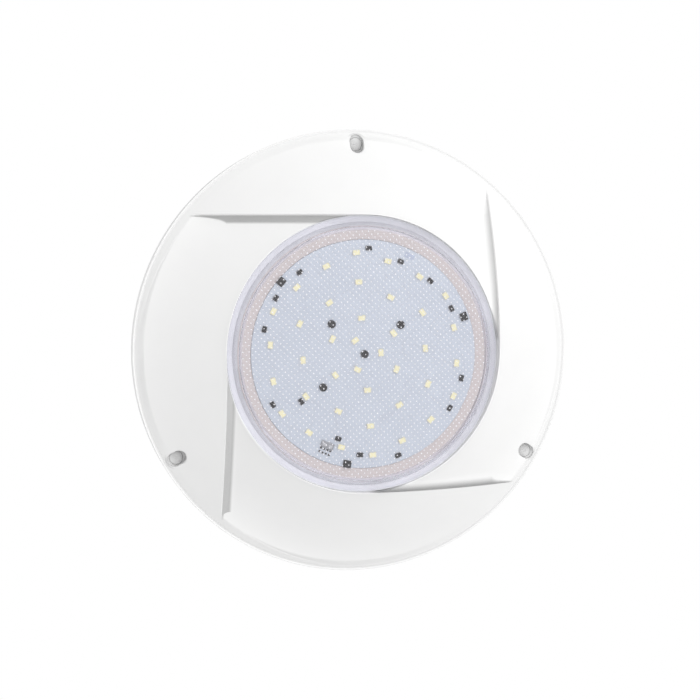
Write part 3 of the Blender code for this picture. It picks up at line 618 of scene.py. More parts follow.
def slot_outline(half_l, half_w, steps, grow=0.0):
    """A slot along x with round ends, widened all round by grow."""
    flat, w = half_l - half_w, half_w + grow
    points = []
    for side in (0, 1):
        for k in range(steps + 1):
            x, y = on_circle(w, -math.pi / 2 + math.pi * k / steps + math.pi * side)
            points.append((x + (flat if side == 0 else -flat), y))
    return points


def round_rect(w, l, r, steps=4):
    points = []
    corners = ((1, 1, 0), (-1, 1, 90), (-1, -1, 180), (1, -1, 270))
    for side_x, side_y, start in corners:
        for k in range(steps + 1):
            x, y = polar(r, start + 90 * k / steps)
            points.append((side_x * (w / 2 - r) + x, side_y * (l / 2 - r) + y))
    return points


def soft_block(w, l, low, high, corner, edge):
    """A rounded-corner block with a softened top edge."""
    wall = round_rect(w, l, corner)
    shoulder = round_rect(w - 0.6 * edge, l - 0.6 * edge, corner)
    face = round_rect(w - 2 * edge, l - 2 * edge, max(corner - edge * 0.5, 0.03))
    levels = ((wall, low), (wall, high - edge), (shoulder, high - edge * 0.3), (face, high))
    return loft([at_height(*level) for level in levels], bottom=True, top=True)


def carved(mesh, operations, angle=32.0):
    """Applies Boolean operations, each (DIFFERENCE or UNION, list of shapes), to a mesh."""
    scene = bpy.context.scene
    host = bpy.data.objects.new("host", mesh)
    scene.collection.objects.link(host)
    tools = []
    for operation, parts in operations:
        tool_mesh = raw_mesh("tool", joined(parts))
        clean(tool_mesh, merge=False)
        tool = bpy.data.objects.new("tool", tool_mesh)
        scene.collection.objects.link(tool)
        mod = host.modifiers.new("shape", "BOOLEAN")
        mod.operation, mod.solver, mod.object = operation, "EXACT", tool
        tools.append(tool)
    bpy.context.view_layer.update()
    evaluated = host.evaluated_get(bpy.context.evaluated_depsgraph_get())
    made = bpy.data.meshes.new_from_object(evaluated)
    made.name = mesh.name
    for obj in [host] + tools:
        data = obj.data
        bpy.data.objects.remove(obj)
        if data.users == 0:
            bpy.data.meshes.remove(data)
    smooth(made, angle)
    return made


# ------------------------------------------------------------------ fascia surface
# t is the distance along a step, on the tangent line from the recess edge.
# A turn is the angle round the axis from a step's crest, in radians.

SLANT = 0.65  # share of a straight slope in the step's riser, the rest is a quarter-round cove
EDGE = 0.2  # rounding of the step's crest
LIP_ROUND = 0.9  # rounding of the recess edge
CREST = (EDGE, 0.30, 0.18, 0.09, 0.03, 0.0)  # distances before the crest
COVE_ROWS, BLADE_ROWS = 16, 30
QUARTER = math.pi / 2


def dome_h(r):
    d = r - RECESS_R
    return DOME_TOP_H - DOME_SLOPE * d - DOME_CURVE * d * d


def tangent_length(r):
    return math.sqrt(max(r * r - RECESS_R**2, 0.0))


def step_height(t):
    return STEP * (1 - min(t / STEP_END, 1.0)**6)


def cove_width(t):
    return max(COVE * (1 - min(t / STEP_END, 1.0)**16), 1.0)


def inside_line(t, turn):
    """Distance inside the crest's line at a turn."""
    return RECESS_R * (1 - math.cos(turn)) + t * math.sin(turn)


def cove_angle(t, width):
    """Turn at which the distance inside the crest's line reaches width, by halving."""
    lo, hi = 0.0, math.radians(60)
    for _ in range(40):
        mid = (lo + hi) / 2
        lo, hi = (mid, hi) if inside_line(t, mid) < width else (lo, mid)
    return (lo + hi) / 2


def cove_rise(share, foot):
    """Height of the riser as a share of the step, from 1 at the crest down to the foot."""
    arc = 1 - math.sqrt(max(0.0, 1 - (1 - share)**2))
    s = share / 0.93
    straight = 1 - s if s < 0.9 else 0.5 * max(0.0, 1.1 - s)**2 / 0.2
    rise = (1 - SLANT) * arc + SLANT * straight
    return rise + (1 - rise) * (foot / QUARTER) * share


def round_drop(s, radius):
    """Drop of a quarter-round edge at distance s from where it starts."""
    if s >= radius:
        return 0.0
    return radius - math.sqrt(max(0.0, radius * radius - (radius - s)**2))


def surface_h(x, y):
    """Height of the fascia's front at any point, without edge rounding."""
    r = math.hypot(x, y)
    t = tangent_length(r)
    turn = (math.atan2(y, x) - math.atan2(t, RECESS_R)) % QUARTER
    width = cove_width(t)
    foot = cove_angle(t, width)
    on_riser = turn < foot
    high = cove_rise(inside_line(t, turn) / width, foot) if on_riser else turn / QUARTER
    return dome_h(r) - step_height(t) * (1 - high)


def fascia_stations():
    near = [0.0, 2.2, 3.4, 4.5, 5.6, 6.8, 8.2, 10.0, 12.0]
    mid = [14.5 + (80 - 14.5) * k / 27 for k in range(28)]
    far = [80 + 26.0 * (k / 20)**0.8 for k in range(1, 21)]
    return near + mid + far


def blade_cells(t, width, step):
    """(turn, drop below the dome) across one blade: crest, riser, then the long slope."""
    foot = cove_angle(t, width)
    soft = EDGE * min(1.0, (t / 12.0)**2) * min(1.0, step / 1.2)
    cells = [(-s / max(t, 12.0), round_drop(s, EDGE) / EDGE * soft) for s in CREST]
    for k in range(1, COVE_ROWS + 1):
        share = 1 - math.cos(math.pi / 2 * k / COVE_ROWS)
        drop = step * (1 - cove_rise(share, foot))
        cells.append((cove_angle(t, width * share), max(drop, soft) if k < 3 else drop))
    for k in range(1, BLADE_ROWS):
        turn = foot + (QUARTER - foot) * k / BLADE_ROWS
        cells.append((turn, step * (1 - turn / QUARTER)))
    return cells


def fascia_rows():
    """Rows of (angle, r, h) from the recess edge outwards. The third blade keeps its full cove."""
    rows = []
    for t in fascia_stations():
        r = math.hypot(RECESS_R, t)
        full, step = cove_width(t), step_height(t)
        thin = max(1.0, full * min(1.0, (STEP_END + 1.0 - t) / 20.0))
        lip = round_drop(r - RECESS_R, LIP_ROUND)
        row = []
        for blade in range(4):
            for turn, drop in blade_cells(t, full if blade == 2 else thin, step):
                angle = turn + blade * math.pi / 2 + math.atan2(t, RECESS_R)
                row.append((angle, r, dome_h(r) - drop - lip))
        rows.append(row)
    return rows


def rim_profile():
    """Outer dome edge, groove, rim and the inside of the skirt, as (r, h)."""
    groove = LIP_R + 0.35
    floor = dome_h(groove + 0.4) - 0.28
    profile = [(groove + off, dome_h(groove + off)) for off in (-0.7, -0.2)]
    profile += [(groove + 0.25, floor + 0.12), (groove + 0.5, floor), (groove + 1.1, floor),
                (groove + 1.45, floor + 0.25), (groove + 1.8, RIM_H - 0.12),
                (groove + 2.05, RIM_H)]
    edge = 0.4
    for k in range(7):
        x, y = on_circle(edge, math.pi / 2 * k / 6)
        profile.append((RIM_R - edge + y, RIM_H - edge + x))
    for k in range(5):
        x, y = on_circle(edge, math.pi / 2 * k / 4)
        profile.append((RIM_R - edge + x, RIM_BACK_H + edge - y))
    inner = RIM_R - SKIRT_WALL
    return profile + [
        (inner + 0.3, RIM_BACK_H), (inner, RIM_BACK_H + 0.3), (inner, RIM_H - 4.4),
        (inner - 0.4, RIM_H - 2.6), (inner - 1.6, RIM_H - 1.2)]


def fascia_skin():
    """The whole closed skin: front, rim, back of the dome, and the ledge inside the recess."""
    rows = fascia_rows()
    count = len(rows[0])
    step = TAU / count
    first = [cell[0] for cell in rows[0]]
    last = [cell[0] for cell in rows[-1]]
    spread = [last[0] + TAU * c / count for c in range(count)]
    straight = [step * c for c in range(count)]

    def add_ring(angles, r, h):
        rows.append([(a, r, h) for a in angles])

    # The uneven angles of the blades ease into an even spread before the rim.
    for share, r in ((0.25, 139.0), (0.5, 139.9), (0.75, 140.8), (0.95, 141.6)):
        add_ring([l + (s - l) * share for l, s in zip(last, spread)], r, dome_h(r))
    for r, h in rim_profile():
        add_ring(spread, r, h)
    for k in range(24):
        r = 138.5 + (92.1 - 138.5) * k / 23
        t = tangent_length(r)
        lead = math.atan2(t, RECESS_R)
        add_ring([lead + a for a in straight], r, dome_h(r) - step_height(t) - SHELL_T)
    low = LEDGE_H - LEDGE_T
    add_ring([0.10 + a for a in straight], RECESS_R + SHELL_T, low)
    for r, h in ((LEDGE_R + 0.3, low), (LEDGE_R, low + 0.3),
                 (LEDGE_R, LEDGE_H - 0.3), (LEDGE_R + 0.3, LEDGE_H)):
        add_ring(straight, r, h)
    add_ring([a * 0.5 + b * 0.5 for a, b in zip(straight, first)], 84.5, LEDGE_H)
    for r, h in ((RECESS_R - 0.3, LEDGE_H), (RECESS_R, LEDGE_H + 0.3), (RECESS_R, 40.0)):
        add_ring(first, r, h)
    return loft([[(*on_circle(r, a), h) for a, r, h in row] for row in rows], closed=True)


# ------------------------------------------------------------------ fascia posts, bores and ribs

BORE_FLOOR = ((-0.8, 0.0), (-0.3, 0.1), (-0.08, 0.28), (0.0, 0.5))  # growth, height over SINK_H
# Growth of the slot and depth under the front, from the wall out to just above the surface
BORE_MOUTH = ((0.0, 0.75), (0.03, 0.46), (0.12, 0.22), (0.28, 0.06), (0.46, 0.0), (0.62, -0.05))


def slot_bore(angle, spot):
    """Cutter for a slotted counterbore whose mouth follows the dome with a rounded edge."""
    def ring(grow, h=0.0):
        outline = slot_outline(CBORE_HALF_L, CBORE_HALF_W, 14, grow)
        return moved(at_height(outline, h), spot, angle)

    rings = [ring(grow, SINK_H + h) for grow, h in BORE_FLOOR]
    for grow, depth in BORE_MOUTH:
        rings.append([(x, y, surface_h(x, y) - depth) for x, y, _ in ring(grow)])
    rings.append(ring(0.62, 40.0))
    return loft(rings, bottom=True, top=True)


def dome_rib(angle, outer_r, foot):
    """A radial rib under the dome, foot being its lower edge's height at outer_r."""
    inner_r, stations, half_t = RECESS_R + 1.5, 14, 1.0
    verts, faces = [], []
    for side in (-half_t, half_t):
        for k in range(stations):
            r = inner_r + (outer_r - inner_r) * k / (stations - 1)
            share = (r - inner_r) / (outer_r - inner_r)
            low = (LEDGE_H - LEDGE_T + 0.8) * (1 - share) + foot * share
            verts.append((r, side, low))
            verts.append((r, side, dome_h(r) - step_height(tangent_length(r)) - 1.6))
    half = 2 * stations
    for a in range(0, half - 2, 2):
        faces.append((a, a + 1, a + 3, a + 2))
        faces.append((half + a, half + a + 2, half + a + 3, half + a + 1))
        faces.append((a, a + 2, half + a + 2, half + a))
        faces.append((a + 1, half + a + 1, half + a + 3, a + 3))
    end = half - 2
    faces.append((0, half, half + 1, 1))
    faces.append((end, end + 1, half + end + 1, half + end))
    return shifted((verts, faces), degrees=angle + 0.7)


def fascia_mesh():
    mesh = mesh_of("face_plate_shell", fascia_skin(), ABS)
    post_r, post_top = 8.2, RIM_H - 0.5
    post = lathe(fillet([(0, FIX_POST_H), (post_r, FIX_POST_H, 0.4), (post_r, post_top, 0),
                         (0, post_top)], 0), 48)
    well = cylinder(CBORE_HALF_W - 0.1, FIX_FLOOR_H, SINK_H + 1.2, 64)
    posts, bores, wells = [], [], []
    for angle, (x, y) in zip(FIX_ANGLES, FIX_SPOTS):
        spot = (x, y, 0)
        posts.append(shifted(post, spot, angle))
        bores.append(slot_bore(angle, spot))
        wells.append(shifted(well, spot, 3.0))
    ribs = []
    for k in range(6):
        # Every second rib runs out to a screw post.
        outer_r, foot = (122.0, 18.0) if k % 2 == 0 else (128.5, 14.0)
        ribs.append(dome_rib(30.0 + 60.0 * k, outer_r, foot))
    return carved(mesh, [
        ("UNION", ribs),
        ("UNION", posts),
        ("DIFFERENCE", bores),
        ("DIFFERENCE", wells),
        ("DIFFERENCE", cylinders(FIX_SPOTS, SHANK_HOLE_R, 0.0, 13.0, 40)),
    ], angle=33)


place("fascia", fascia_mesh(), "face_plate")


# ------------------------------------------------------------------ lamp lens

PRISM_PITCH, PRISM_TURN = 2.83, 48.0
PRISM_EDGE, PRISM_RIDGE = 0.42, 0.085  # half-width of a ridge and its height
PRISM_STUD = 0.56  # height of the stud where two ridges cross
WINDOW_IN_R, WINDOW_IN_H = FLANK_R1 - 1.7, WINDOW_H - LENS_T


def window_h(r, edge_h, edge_r):
    return edge_h + WINDOW_CROWN * (1 - (r / edge_r)**2)


def lens_outline():
    """Flange, conical flank and outer window, from the window's inner edge round to the axis."""
    flange_low, edge_r = LENS_TOP_H - LENS_FLANGE_T, FLANK_R1 - 1.0
    outline = fillet([
        (WINDOW_IN_R, WINDOW_IN_H, 0.0),
        (FLANK_R0 - 1.7, flange_low, 0.4),
        (LAMP_R - 0.1, flange_low, 0.3),
        (LAMP_R - 0.1, LENS_TOP_H, 0.5),
        (FLANK_R0 + 0.9, LENS_TOP_H, 0.15),
        (FLANK_R0 + 0.7, LENS_TOP_H - 0.35, 0.12),
        (FLANK_R0 + 0.2, LENS_TOP_H - 0.35, 0.12),
        (FLANK_R0, LENS_TOP_H + 0.1, 0.12),
        (FLANK_R1 + 0.35, WINDOW_H - 0.5, 0.5),
        (edge_r, window_h(edge_r, WINDOW_H, FLANK_R1), 0.0),
    ], 0.2, steps=5, closed=False)
    radii = (78.0, 74.0, 68.0, 60.0, 50.0, 40.0, 30.0, 20.0, 10.0, 0.0)
    return outline + [(r, window_h(r, WINDOW_H, FLANK_R1)) for r in radii]


def prism_rise(u, v):
    """Offset of the inner face at grid place (u, v). Ridges and studs stand towards the back."""
    near = [abs(w - PRISM_PITCH * round(w / PRISM_PITCH)) for w in (u, v)]
    fu, fv = (max(0.0, 1 - w / PRISM_EDGE) for w in near)
    return -PRISM_RIDGE * max(fu, fv) - (PRISM_STUD - PRISM_RIDGE) * fu * fv


def prism_grid():
    """Points (place, rise) and edges of the ridge grid and the circle round it."""
    index, points, edges = {}, [], []
    turn, reach = math.radians(PRISM_TURN), WINDOW_IN_R - 0.12
    c, s = math.cos(turn), math.sin(turn)

    def point(u, v):
        key = (round(u, 4), round(v, 4))
        if key not in index:
            index[key] = len(points)
            points.append((Vector((u * c - v * s, u * s + v * c)), prism_rise(u, v)))
        return index[key]

    cells = int(WINDOW_IN_R / PRISM_PITCH) + 1
    offsets = (-PRISM_EDGE, 0.0, PRISM_EDGE)
    lines = sorted(k * PRISM_PITCH + off for k in range(-cells, cells + 1) for off in offsets)
    for u in lines:
        if abs(u) >= reach - 0.05:
            continue
        end = math.sqrt(reach * reach - u * u)
        along = [-end] + [v for v in lines if abs(v) < end - 0.05] + [end]
        for v0, v1 in zip(along, along[1:]):
            edges.append((point(u, v0), point(u, v1)))
            edges.append((point(v0, u), point(v1, u)))
    base = len(points)
    for k in range(FINE):
        points.append((Vector(on_circle(WINDOW_IN_R, TAU * k / FINE)), 0.0))
        edges.append((base + k, base + (k + 1) % FINE))
    return points, list({tuple(sorted(e)) for e in edges})


def lens_mesh():
    """Turned outline plus the window's inner face, a grid of low ridges with studs whose facets carry a
    painted highlight.
    """
    verts, faces = lathe(lens_outline(), FINE, closed=False)
    marks = [0] * len(faces)
    points, edges = prism_grid()
    flat, _, cells, sources, _, _ = delaunay_2d_cdt([p for p, _ in points], edges, [], 1, 1e-5)
    start = len(verts)
    for p, source in zip(flat, sources):
        rise = min([points[i][1] for i in source] or [0.0])
        verts.append((p.x, p.y, window_h(p.length, WINDOW_IN_H, WINDOW_IN_R) + rise))
    c, s = math.cos(math.radians(PRISM_TURN)), math.sin(math.radians(PRISM_TURN))
    for cell in cells:
        faces.append(tuple(start + i for i in cell))
        middle = sum((flat[i] for i in cell), Vector((0, 0))) / len(cell)
        u, v = middle.x * c + middle.y * s, middle.y * c - middle.x * s
        # Faces on the studs take the painted highlight finish.
        marks.append(1 if prism_rise(u, v) < -PRISM_RIDGE * 1.02 else 0)
    return mesh_of("lens_moulding", (verts, faces, marks), PC, PC_PAINTED_HIGHLIGHT, angle=21)


def lens_seal_mesh():
    low, wrap_r, top = SEAL_TOP_H - SEAL_T, LAMP_R + 0.02, LENS_TOP_H - 0.25
    profile = [
        (82.9, low), (RECESS_R - 0.1, low), (RECESS_R - 0.1, top), (wrap_r, top),
        (wrap_r, SEAL_TOP_H), (86.2, SEAL_TOP_H), (85.9, SEAL_TOP_H - 0.25),
        (83.5, SEAL_TOP_H - 0.25), (83.2, SEAL_TOP_H), (82.9, SEAL_TOP_H)]
    return lathe_mesh("lens_sealing_ring", profile, SILICONE, radius=0.2)


def seat_gasket_mesh():
    low = LEDGE_H + GAP
    profile = section(81.0, 87.8, low, low + 1.0)
    return lathe_mesh("lamp_seat_gasket", profile, SEAT_RUBBER, radius=0.35)


place("lens", lens_mesh(), "lamp_lens")
place("lens_sealing_ring", lens_seal_mesh(), "lens_seal")
place("lamp_seat_gasket", seat_gasket_mesh(), "lamp_gasket")


# ------------------------------------------------------------------ lamp shell, spreader, board


def shell_mesh():
    flange_top = SEAL_TOP_H - SEAL_T - GAP
    flange_low = flange_top - 2.0
    wall_r, inner_r, rim_r, rim_h = 79.8, 71.8, 73.15, 43.2
    floor = SHELL_BACK_H + SHELL_FLOOR_T
    rest = SPREADER_TOP - SPREADER_T - GAP
    profile = [
        (10.6, SHELL_BACK_H), (wall_r - 2.0, SHELL_BACK_H, 1.2), (wall_r, SHELL_BACK_H + 2.0, 1.2),
        (wall_r, flange_low, 0.5), (LAMP_R, flange_low, 0.3), (LAMP_R, flange_top, 0.3),
        (82.2, flange_top, 0.3), (80.1, rim_h, 0.3), (rim_r, rim_h, 0.15), (rim_r, rest, 0.2),
        (inner_r, rest, 0.3), (inner_r, floor, 0.8), (10.6, floor),
    ]
    boss = lathe(fillet(section(0, 4.6, SHELL_BACK_H + 0.8, 34.0), 0.4), 40)
    return carved(lathe_mesh("lamp_housing", profile, SHELL), [
        ("UNION", [shifted(boss, (x, y, 0)) for x, y in CLAMP_SPOTS]),
        ("DIFFERENCE", cylinders(CLAMP_SPOTS, 2.35, SHELL_BACK_H - 2, 32.0, 32)),
    ])


def spreader_mesh():
    top = SPREADER_TOP
    profile = section(0, BOARD_R, top - SPREADER_T, top)
    holes = cylinders(BOARD_SPOTS, 1.9, 30, 50, 28)
    holes += cylinders([polar(WIRE_R, WIRE_ANGLE)], 5.0, 30, 50, 40)
    return carved(lathe_mesh("spreader_plate", profile, ALUMINIUM), [
        ("UNION", cylinders(BOARD_SPOTS, 4.0, top - 5.2, top - 0.6, 32)),
        ("DIFFERENCE", holes),
    ])


def board_mesh():
    profile = section(0, BOARD_R, BOARD_H, BOARD_TOP)
    mesh = lathe_mesh("circuit_board", profile, MASK, radius=0.15)
    return carved(mesh, [("DIFFERENCE", cylinders(BOARD_SPOTS, 1.9, 38, 48, 28))])


place("lamp_housing", shell_mesh(), "lamp_shell")
place("spreader_plate", spreader_mesh(), "heat_spreader")
place("circuit_board", board_mesh(), "led_board")


# ------------------------------------------------------------------ LED packages

LED_PITCH, LED_T = 23.1, 0.8


def led_places():
    """(radius, angle) of each package: three in the middle, the rest on a triangular grid."""
    places = [(0.463 * LED_PITCH, 5.0 + 120.0 * k) for k in range(3)]
    near, far = 5.0, 35.0
    for k in range(6):
        turn = 60.0 * k
        places += [
            (LED_PITCH, far + turn),
            (math.sqrt(3) * LED_PITCH, near + turn),
            (2 * LED_PITCH, far + turn),
            (math.sqrt(7) * LED_PITCH, far + turn - 19.1),
            (math.sqrt(7) * LED_PITCH, far + turn + 19.1),
            (2.81 * LED_PITCH, far + turn),
        ]
    return places


def led_package():
    """Cream body with a rounded window of phosphor and a tinned terminal at each end."""
    top = BOARD_TOP + LED_T
    outer, inner = round_rect(3.3, 4.5, 0.15), round_rect(2.95, 4.1, 0.5)
    levels = ((outer, BOARD_TOP + 0.05), (outer, top - 0.08), (round_rect(3.2, 4.4, 0.12), top),
              (inner, top), (inner, top - 0.12))
    body = loft([at_height(*level) for level in levels], bottom=True)
    middle = [(x * 0.6, y * 0.6) for x, y in inner]
    gel_verts, gel_faces = loft([at_height(inner, top - 0.12), at_height(middle, top - 0.07)])
    gel_verts.append((0, 0, top - 0.055))
    count = len(inner)
    gel_faces += [(count + k, count + (k + 1) % count, 2 * count) for k in range(count)]
    parts = [(*body, 0), (gel_verts, gel_faces, 1)]
    pad = soft_block(1.9, 0.5, BOARD_TOP - 0.02, BOARD_TOP + 0.22, corner=0.06, edge=0.05)
    for end in (-1, 1):
        parts.append((*shifted(pad, (0, end * 2.37, 0)), 2))
    return parts


def led_mesh():
    package, parts = led_package(), []
    for r, angle in led_places():
        parts += [shifted(part, (*polar(r, angle), 0), angle) for part in package]
    return mesh_of("led_packages", joined(parts), LED_BODY, PHOSPHOR, TIN)


place("led_packages", led_mesh())


# ------------------------------------------------------------------ driver parts

# (radius, angle) of the parts near the board's edge
SMALL_CHIPS = (
    (67.5, 88.0), (63.5, 68.5), (63.5, 47.5), (64.0, 27.0), (66.0, 346.0), (66.5, 328.0),
    (69.0, 289.0), (64.5, 267.5), (56.5, 252.5), (50.5, 216.0), (67.0, 208.0), (66.5, 166.0),
    (67.5, 148.0), (67.0, 129.0))
LARGE_CHIPS = ((69.5, 20.0), (71.0, 261.0), (70.8, 139.5))
TERMINAL_SPOT, STRIP_SPOT = (62.6, 247.5), (69.0, 65.0)

# Blocks: size radially and across, low and high above the board, corner, edge, material number
SMALL_BODY = (2.7, 4.0, 0.06, 0.9, 0.1, 0.16, 0)
SMALL_LEG = (0.7, 0.6, -0.02, 0.28, 0.05, 0.05, 1)
WIDE_LEG = (0.7, 1.8, -0.02, 0.28, 0.05, 0.05, 1)
LARGE_BODY = (4.6, 5.2, 0.06, 1.0, 0.15, 0.2, 0)
LARGE_LEG = (0.6, 0.8, -0.02, 0.28, 0.05, 0.05, 1)
TERMINAL_BODY = (4.2, 8.6, -0.02, 1.05, 0.3, 0.2, 2)
TERMINAL_WELL = (2.0, 2.2, 1.0, 1.1, 0.2, 0.04, 1)
PIN = (1.1, 1.1, -0.02, 0.4, 0.1, 0.08, 0)
PIN_PAD = (1.7, 1.5, -0.02, 0.06, 0.1, 0.02, 1)
STRIP = (3.2, 6.5, -0.02, 0.06, 0.2, 0.02, 3)


def driver_mesh():
    """Black parts with tinned legs, tinned pads, and the light-grey terminal of the cores."""
    parts = []

    def add(spot, block, x=0, y=0):
        """A block at (x, y) from the spot, x outwards."""
        w, l, low, high, corner, edge, mark = block
        shape = soft_block(w, l, BOARD_TOP + low, BOARD_TOP + high, corner, edge)
        shape = shifted(shape, (x, y, 0))
        parts.append((*shifted(shape, (*polar(*spot), 0), spot[1]), mark))

    for spot in SMALL_CHIPS:
        add(spot, SMALL_BODY)
        for k in (-1, 0, 1):
            add(spot, SMALL_LEG, 1.6, 1.3 * k)
        add(spot, WIDE_LEG, -1.6)
    for spot in LARGE_CHIPS:
        add(spot, LARGE_BODY)
        for side_x in (-1, 1):
            for side_y in (-1, 1):
                add(spot, LARGE_LEG, side_x * 2.4, side_y * 1.4)
    add(TERMINAL_SPOT, TERMINAL_BODY)
    for k in (-1, 1):
        add(TERMINAL_SPOT, TERMINAL_WELL, 0.3, k * 2.1)
    for k in range(4):
        for row in (2.9, 5.4):
            add(TERMINAL_SPOT, PIN, row, (k - 1.5) * 2.2)
            add(TERMINAL_SPOT, PIN_PAD, row, (k - 1.5) * 2.2)
    add(STRIP_SPOT, STRIP)
    return mesh_of("driver_parts", joined(parts), EPOXY, TIN, TERMINAL, MASK_DARK)


place("driver_parts", driver_mesh())


# ------------------------------------------------------------------ screws


def cross_outline(arm, w):
    return [(w, w), (w, arm), (-w, arm), (-w, w), (-arm, w), (-arm, -w),
            (-w, -w), (-w, -arm), (w, -arm), (w, -w), (arm, -w), (arm, w)]


def screw_head(shank_r, head_r, head_h, flat):
    """(r, h) outline of a head from its seat to its middle, domed or nearly flat."""
    if flat:
        top = [(head_r, head_h * 0.86, 0.45), (head_r * 0.5, head_h * 0.98, 0.9)]
    else:
        top = [(head_r, head_h * 0.34, 0.25), (head_r * 0.86, head_h * 0.76, 0.8),
               (head_r * 0.55, head_h * 0.97, 0.9)]
    profile = [(shank_r, -0.01, 0), (head_r, 0.0, 0.12), *top, (0, head_h)]
    return fillet(profile, 0.2, closed=False)


def screw_mesh(name, finish, *, shank_r, core_r, pitch, length, head_r, head_h, tip, segments,
               plain=0.0, crest=0.5, cross=0.58, depth=0.3, flat=False):
    """A screw on its own axis, head seat at 0: rolled thread, plain neck, head, cross recess.

    tip is the taper's length in shank radii, crest the thread's width as a share of the pitch,
    cross the recess's arm as a share of head_r, depth the height of its floor as a share of head_h.
    """
    verts = [(0, 0, -length - 0.12)]
    rows = max(6, int((length - plain) / pitch * 8))
    for k in range(rows + 1):
        h = -length + (length - plain) * k / rows
        taper = min(1.0, 0.28 + 0.72 * (h + length) / (shank_r * tip))
        fade = min(1.0, max(0.0, (-plain - h) / (pitch * 1.2)))
        radii = []
        for q in range(segments):
            wave = (h / pitch - q / segments) % 1.0
            tooth = max(0.0, 1 - abs(wave - 0.5) / 0.5 / (crest * 1.6))
            r = core_r + (shank_r - core_r) * (tooth * fade + (1 - fade) * 0.92)
            radii.append(r * taper)
        verts += ring_of(radii, h)
    for r, h in screw_head(shank_r, head_r, head_h, flat)[1:-1]:
        verts += ring_of([r] * segments, h)
    verts.append((0, 0, head_h))
    end = len(verts) - 1
    faces = []
    for q in range(segments):
        j = (q + 1) % segments
        faces.append((0, 1 + j, 1 + q))
        for low in range(1, end - segments, segments):
            high = low + segments
            faces.append((low + q, low + j, high + j, high + q))
        faces.append((end - segments + q, end - segments + j, end))
    mesh = mesh_of(name, (verts, faces), finish, angle=38)
    outline = cross_outline(head_r * cross, head_r * 0.135)
    recess = prism(outline, head_h * depth, head_h + 0.6, low_scale=0.62)
    return carved(mesh, [("DIFFERENCE", [recess])], angle=38)


def insert_mesh():
    """Brass insert: knurled bands outside, threaded bore inside."""
    segments, low, high, bore_r, outer_r = 60, 0.6, 6.6, 2.8, 3.9
    rings = []
    for k in range(9):
        if k % 4 == 0:
            radii = [outer_r - 0.35] * segments
        else:
            radii = [outer_r - (0.18 if q % 2 else 0.0) for q in range(segments)]
        rings.append(ring_of(radii, low + (high - low) * k / 8))
    for k in range(33):
        h = high - (high - low) * k / 32
        radii = [bore_r + 0.28 * zigzag(h / 0.8 - q / segments) for q in range(segments)]
        rings.append(ring_of(radii, h))
    return mesh_of("brass_insert", loft(rings, closed=True), BRASS, angle=40)


def place_board_screws():
    mesh = screw_mesh("board_screw", BLACK_STEEL, shank_r=1.5, core_r=1.2, pitch=0.5, length=6.0,
                      head_r=2.6, head_h=1.4, tip=0.4, segments=32)
    for n, spot in enumerate(BOARD_SPOTS, 1):
        place(f"board_fixing_{n}", mesh, f"board_screw_{n}",
              at=(*spot, BOARD_TOP + GAP), turn=0 if n == 1 else 25.0 * n)


def place_face_screws():
    """Face screws, each on its sealing washer."""
    mesh = screw_mesh("face_fixing", COATED, shank_r=2.5, core_r=2.1, pitch=0.8, length=10.6,
                      head_r=4.4, head_h=SINK_H - FIX_FLOOR_H - 1.5, tip=0.35, segments=48,
                      plain=2.0, cross=0.4, depth=0.84, flat=True)
    low = FIX_FLOOR_H + GAP
    high = low + WASHER_T
    for n, spot in enumerate(FIX_SPOTS, 1):
        place(f"face_fixing_{n}", mesh, f"face_screw_{n}",
              body=f"fixing_screw_{n}", at=(*spot, high + GAP),
              turn=20 if n == 1 else 20 + 35.0 * n)
        washer = lathe_mesh(f"washer_{n}", section(2.8, 4.4, low, high), WASHER, segments=48)
        place(f"sealing_washer_{n}", washer, f"screw_seal_{n}",
              body=f"seal_carriage_{n}", at=(*spot, 0))


def place_inserts():
    mesh = insert_mesh()
    for n, spot in enumerate(FIX_SPOTS, 1):
        place(f"brass_insert_{n}", mesh, f"thread_insert_{n}",
              body="wall_side", at=(*spot, 0))


def place_wall_screws():
    mesh = screw_mesh("wall_fixing", STEEL, shank_r=2.4, core_r=1.75, pitch=2.2, length=38.0,
                      head_r=4.6, head_h=2.9, tip=2.2, segments=40, plain=4.0, crest=0.3)
    for n, angle in enumerate(WALL_ANGLES, 1):
        place(f"wall_fixing_{n}", mesh, f"wall_screw_{n}", body="wall_side",
              at=(*polar(WALL_R, angle), BRACKET_T + GAP), turn=0 if n == 1 else 30.0 * n)


def place_clamp_screws():
    """Screws that hold the clamp ring, their heads towards the wall."""
    mesh = screw_mesh("clamp_fixing", STEEL, shank_r=2.0, core_r=1.6, pitch=1.2, length=10.5,
                      head_r=3.8, head_h=2.6, tip=1.2, segments=36, crest=0.4)
    mesh.transform(Matrix.Rotation(math.pi, 4, "X"))
    for k, spot in enumerate(CLAMP_SPOTS):
        place(f"clamp_fixing_{k + 1}", mesh, f"clamp_screw_{k + 1}",
              at=(*spot, SHELL_BACK_H - GAP - 3.0 - GAP), turn=20.0 * k)


place_board_screws()
place_face_screws()
place_inserts()
place_wall_screws()
place_clamp_screws()


# ------------------------------------------------------------------ clamp ring, bracket


def clamp_mesh():
    top, low, thick = LEDGE_H - LEDGE_T - GAP, SHELL_BACK_H - GAP, 3.0
    profile = [
        (61.5, low - thick), (82.6, low - thick, 0.8), (82.6, top - thick, 0.5),
        (87.6, top - thick), (87.6, top), (80.2, top), (80.2, low + 2.6), (77.6, low),
        (61.5, low)]
    mesh = lathe_mesh("retaining_ring", profile, BRACKET, radius=0.3)
    return carved(mesh, [("DIFFERENCE", cylinders(CLAMP_SPOTS, 2.4, 10, 30, 32))])


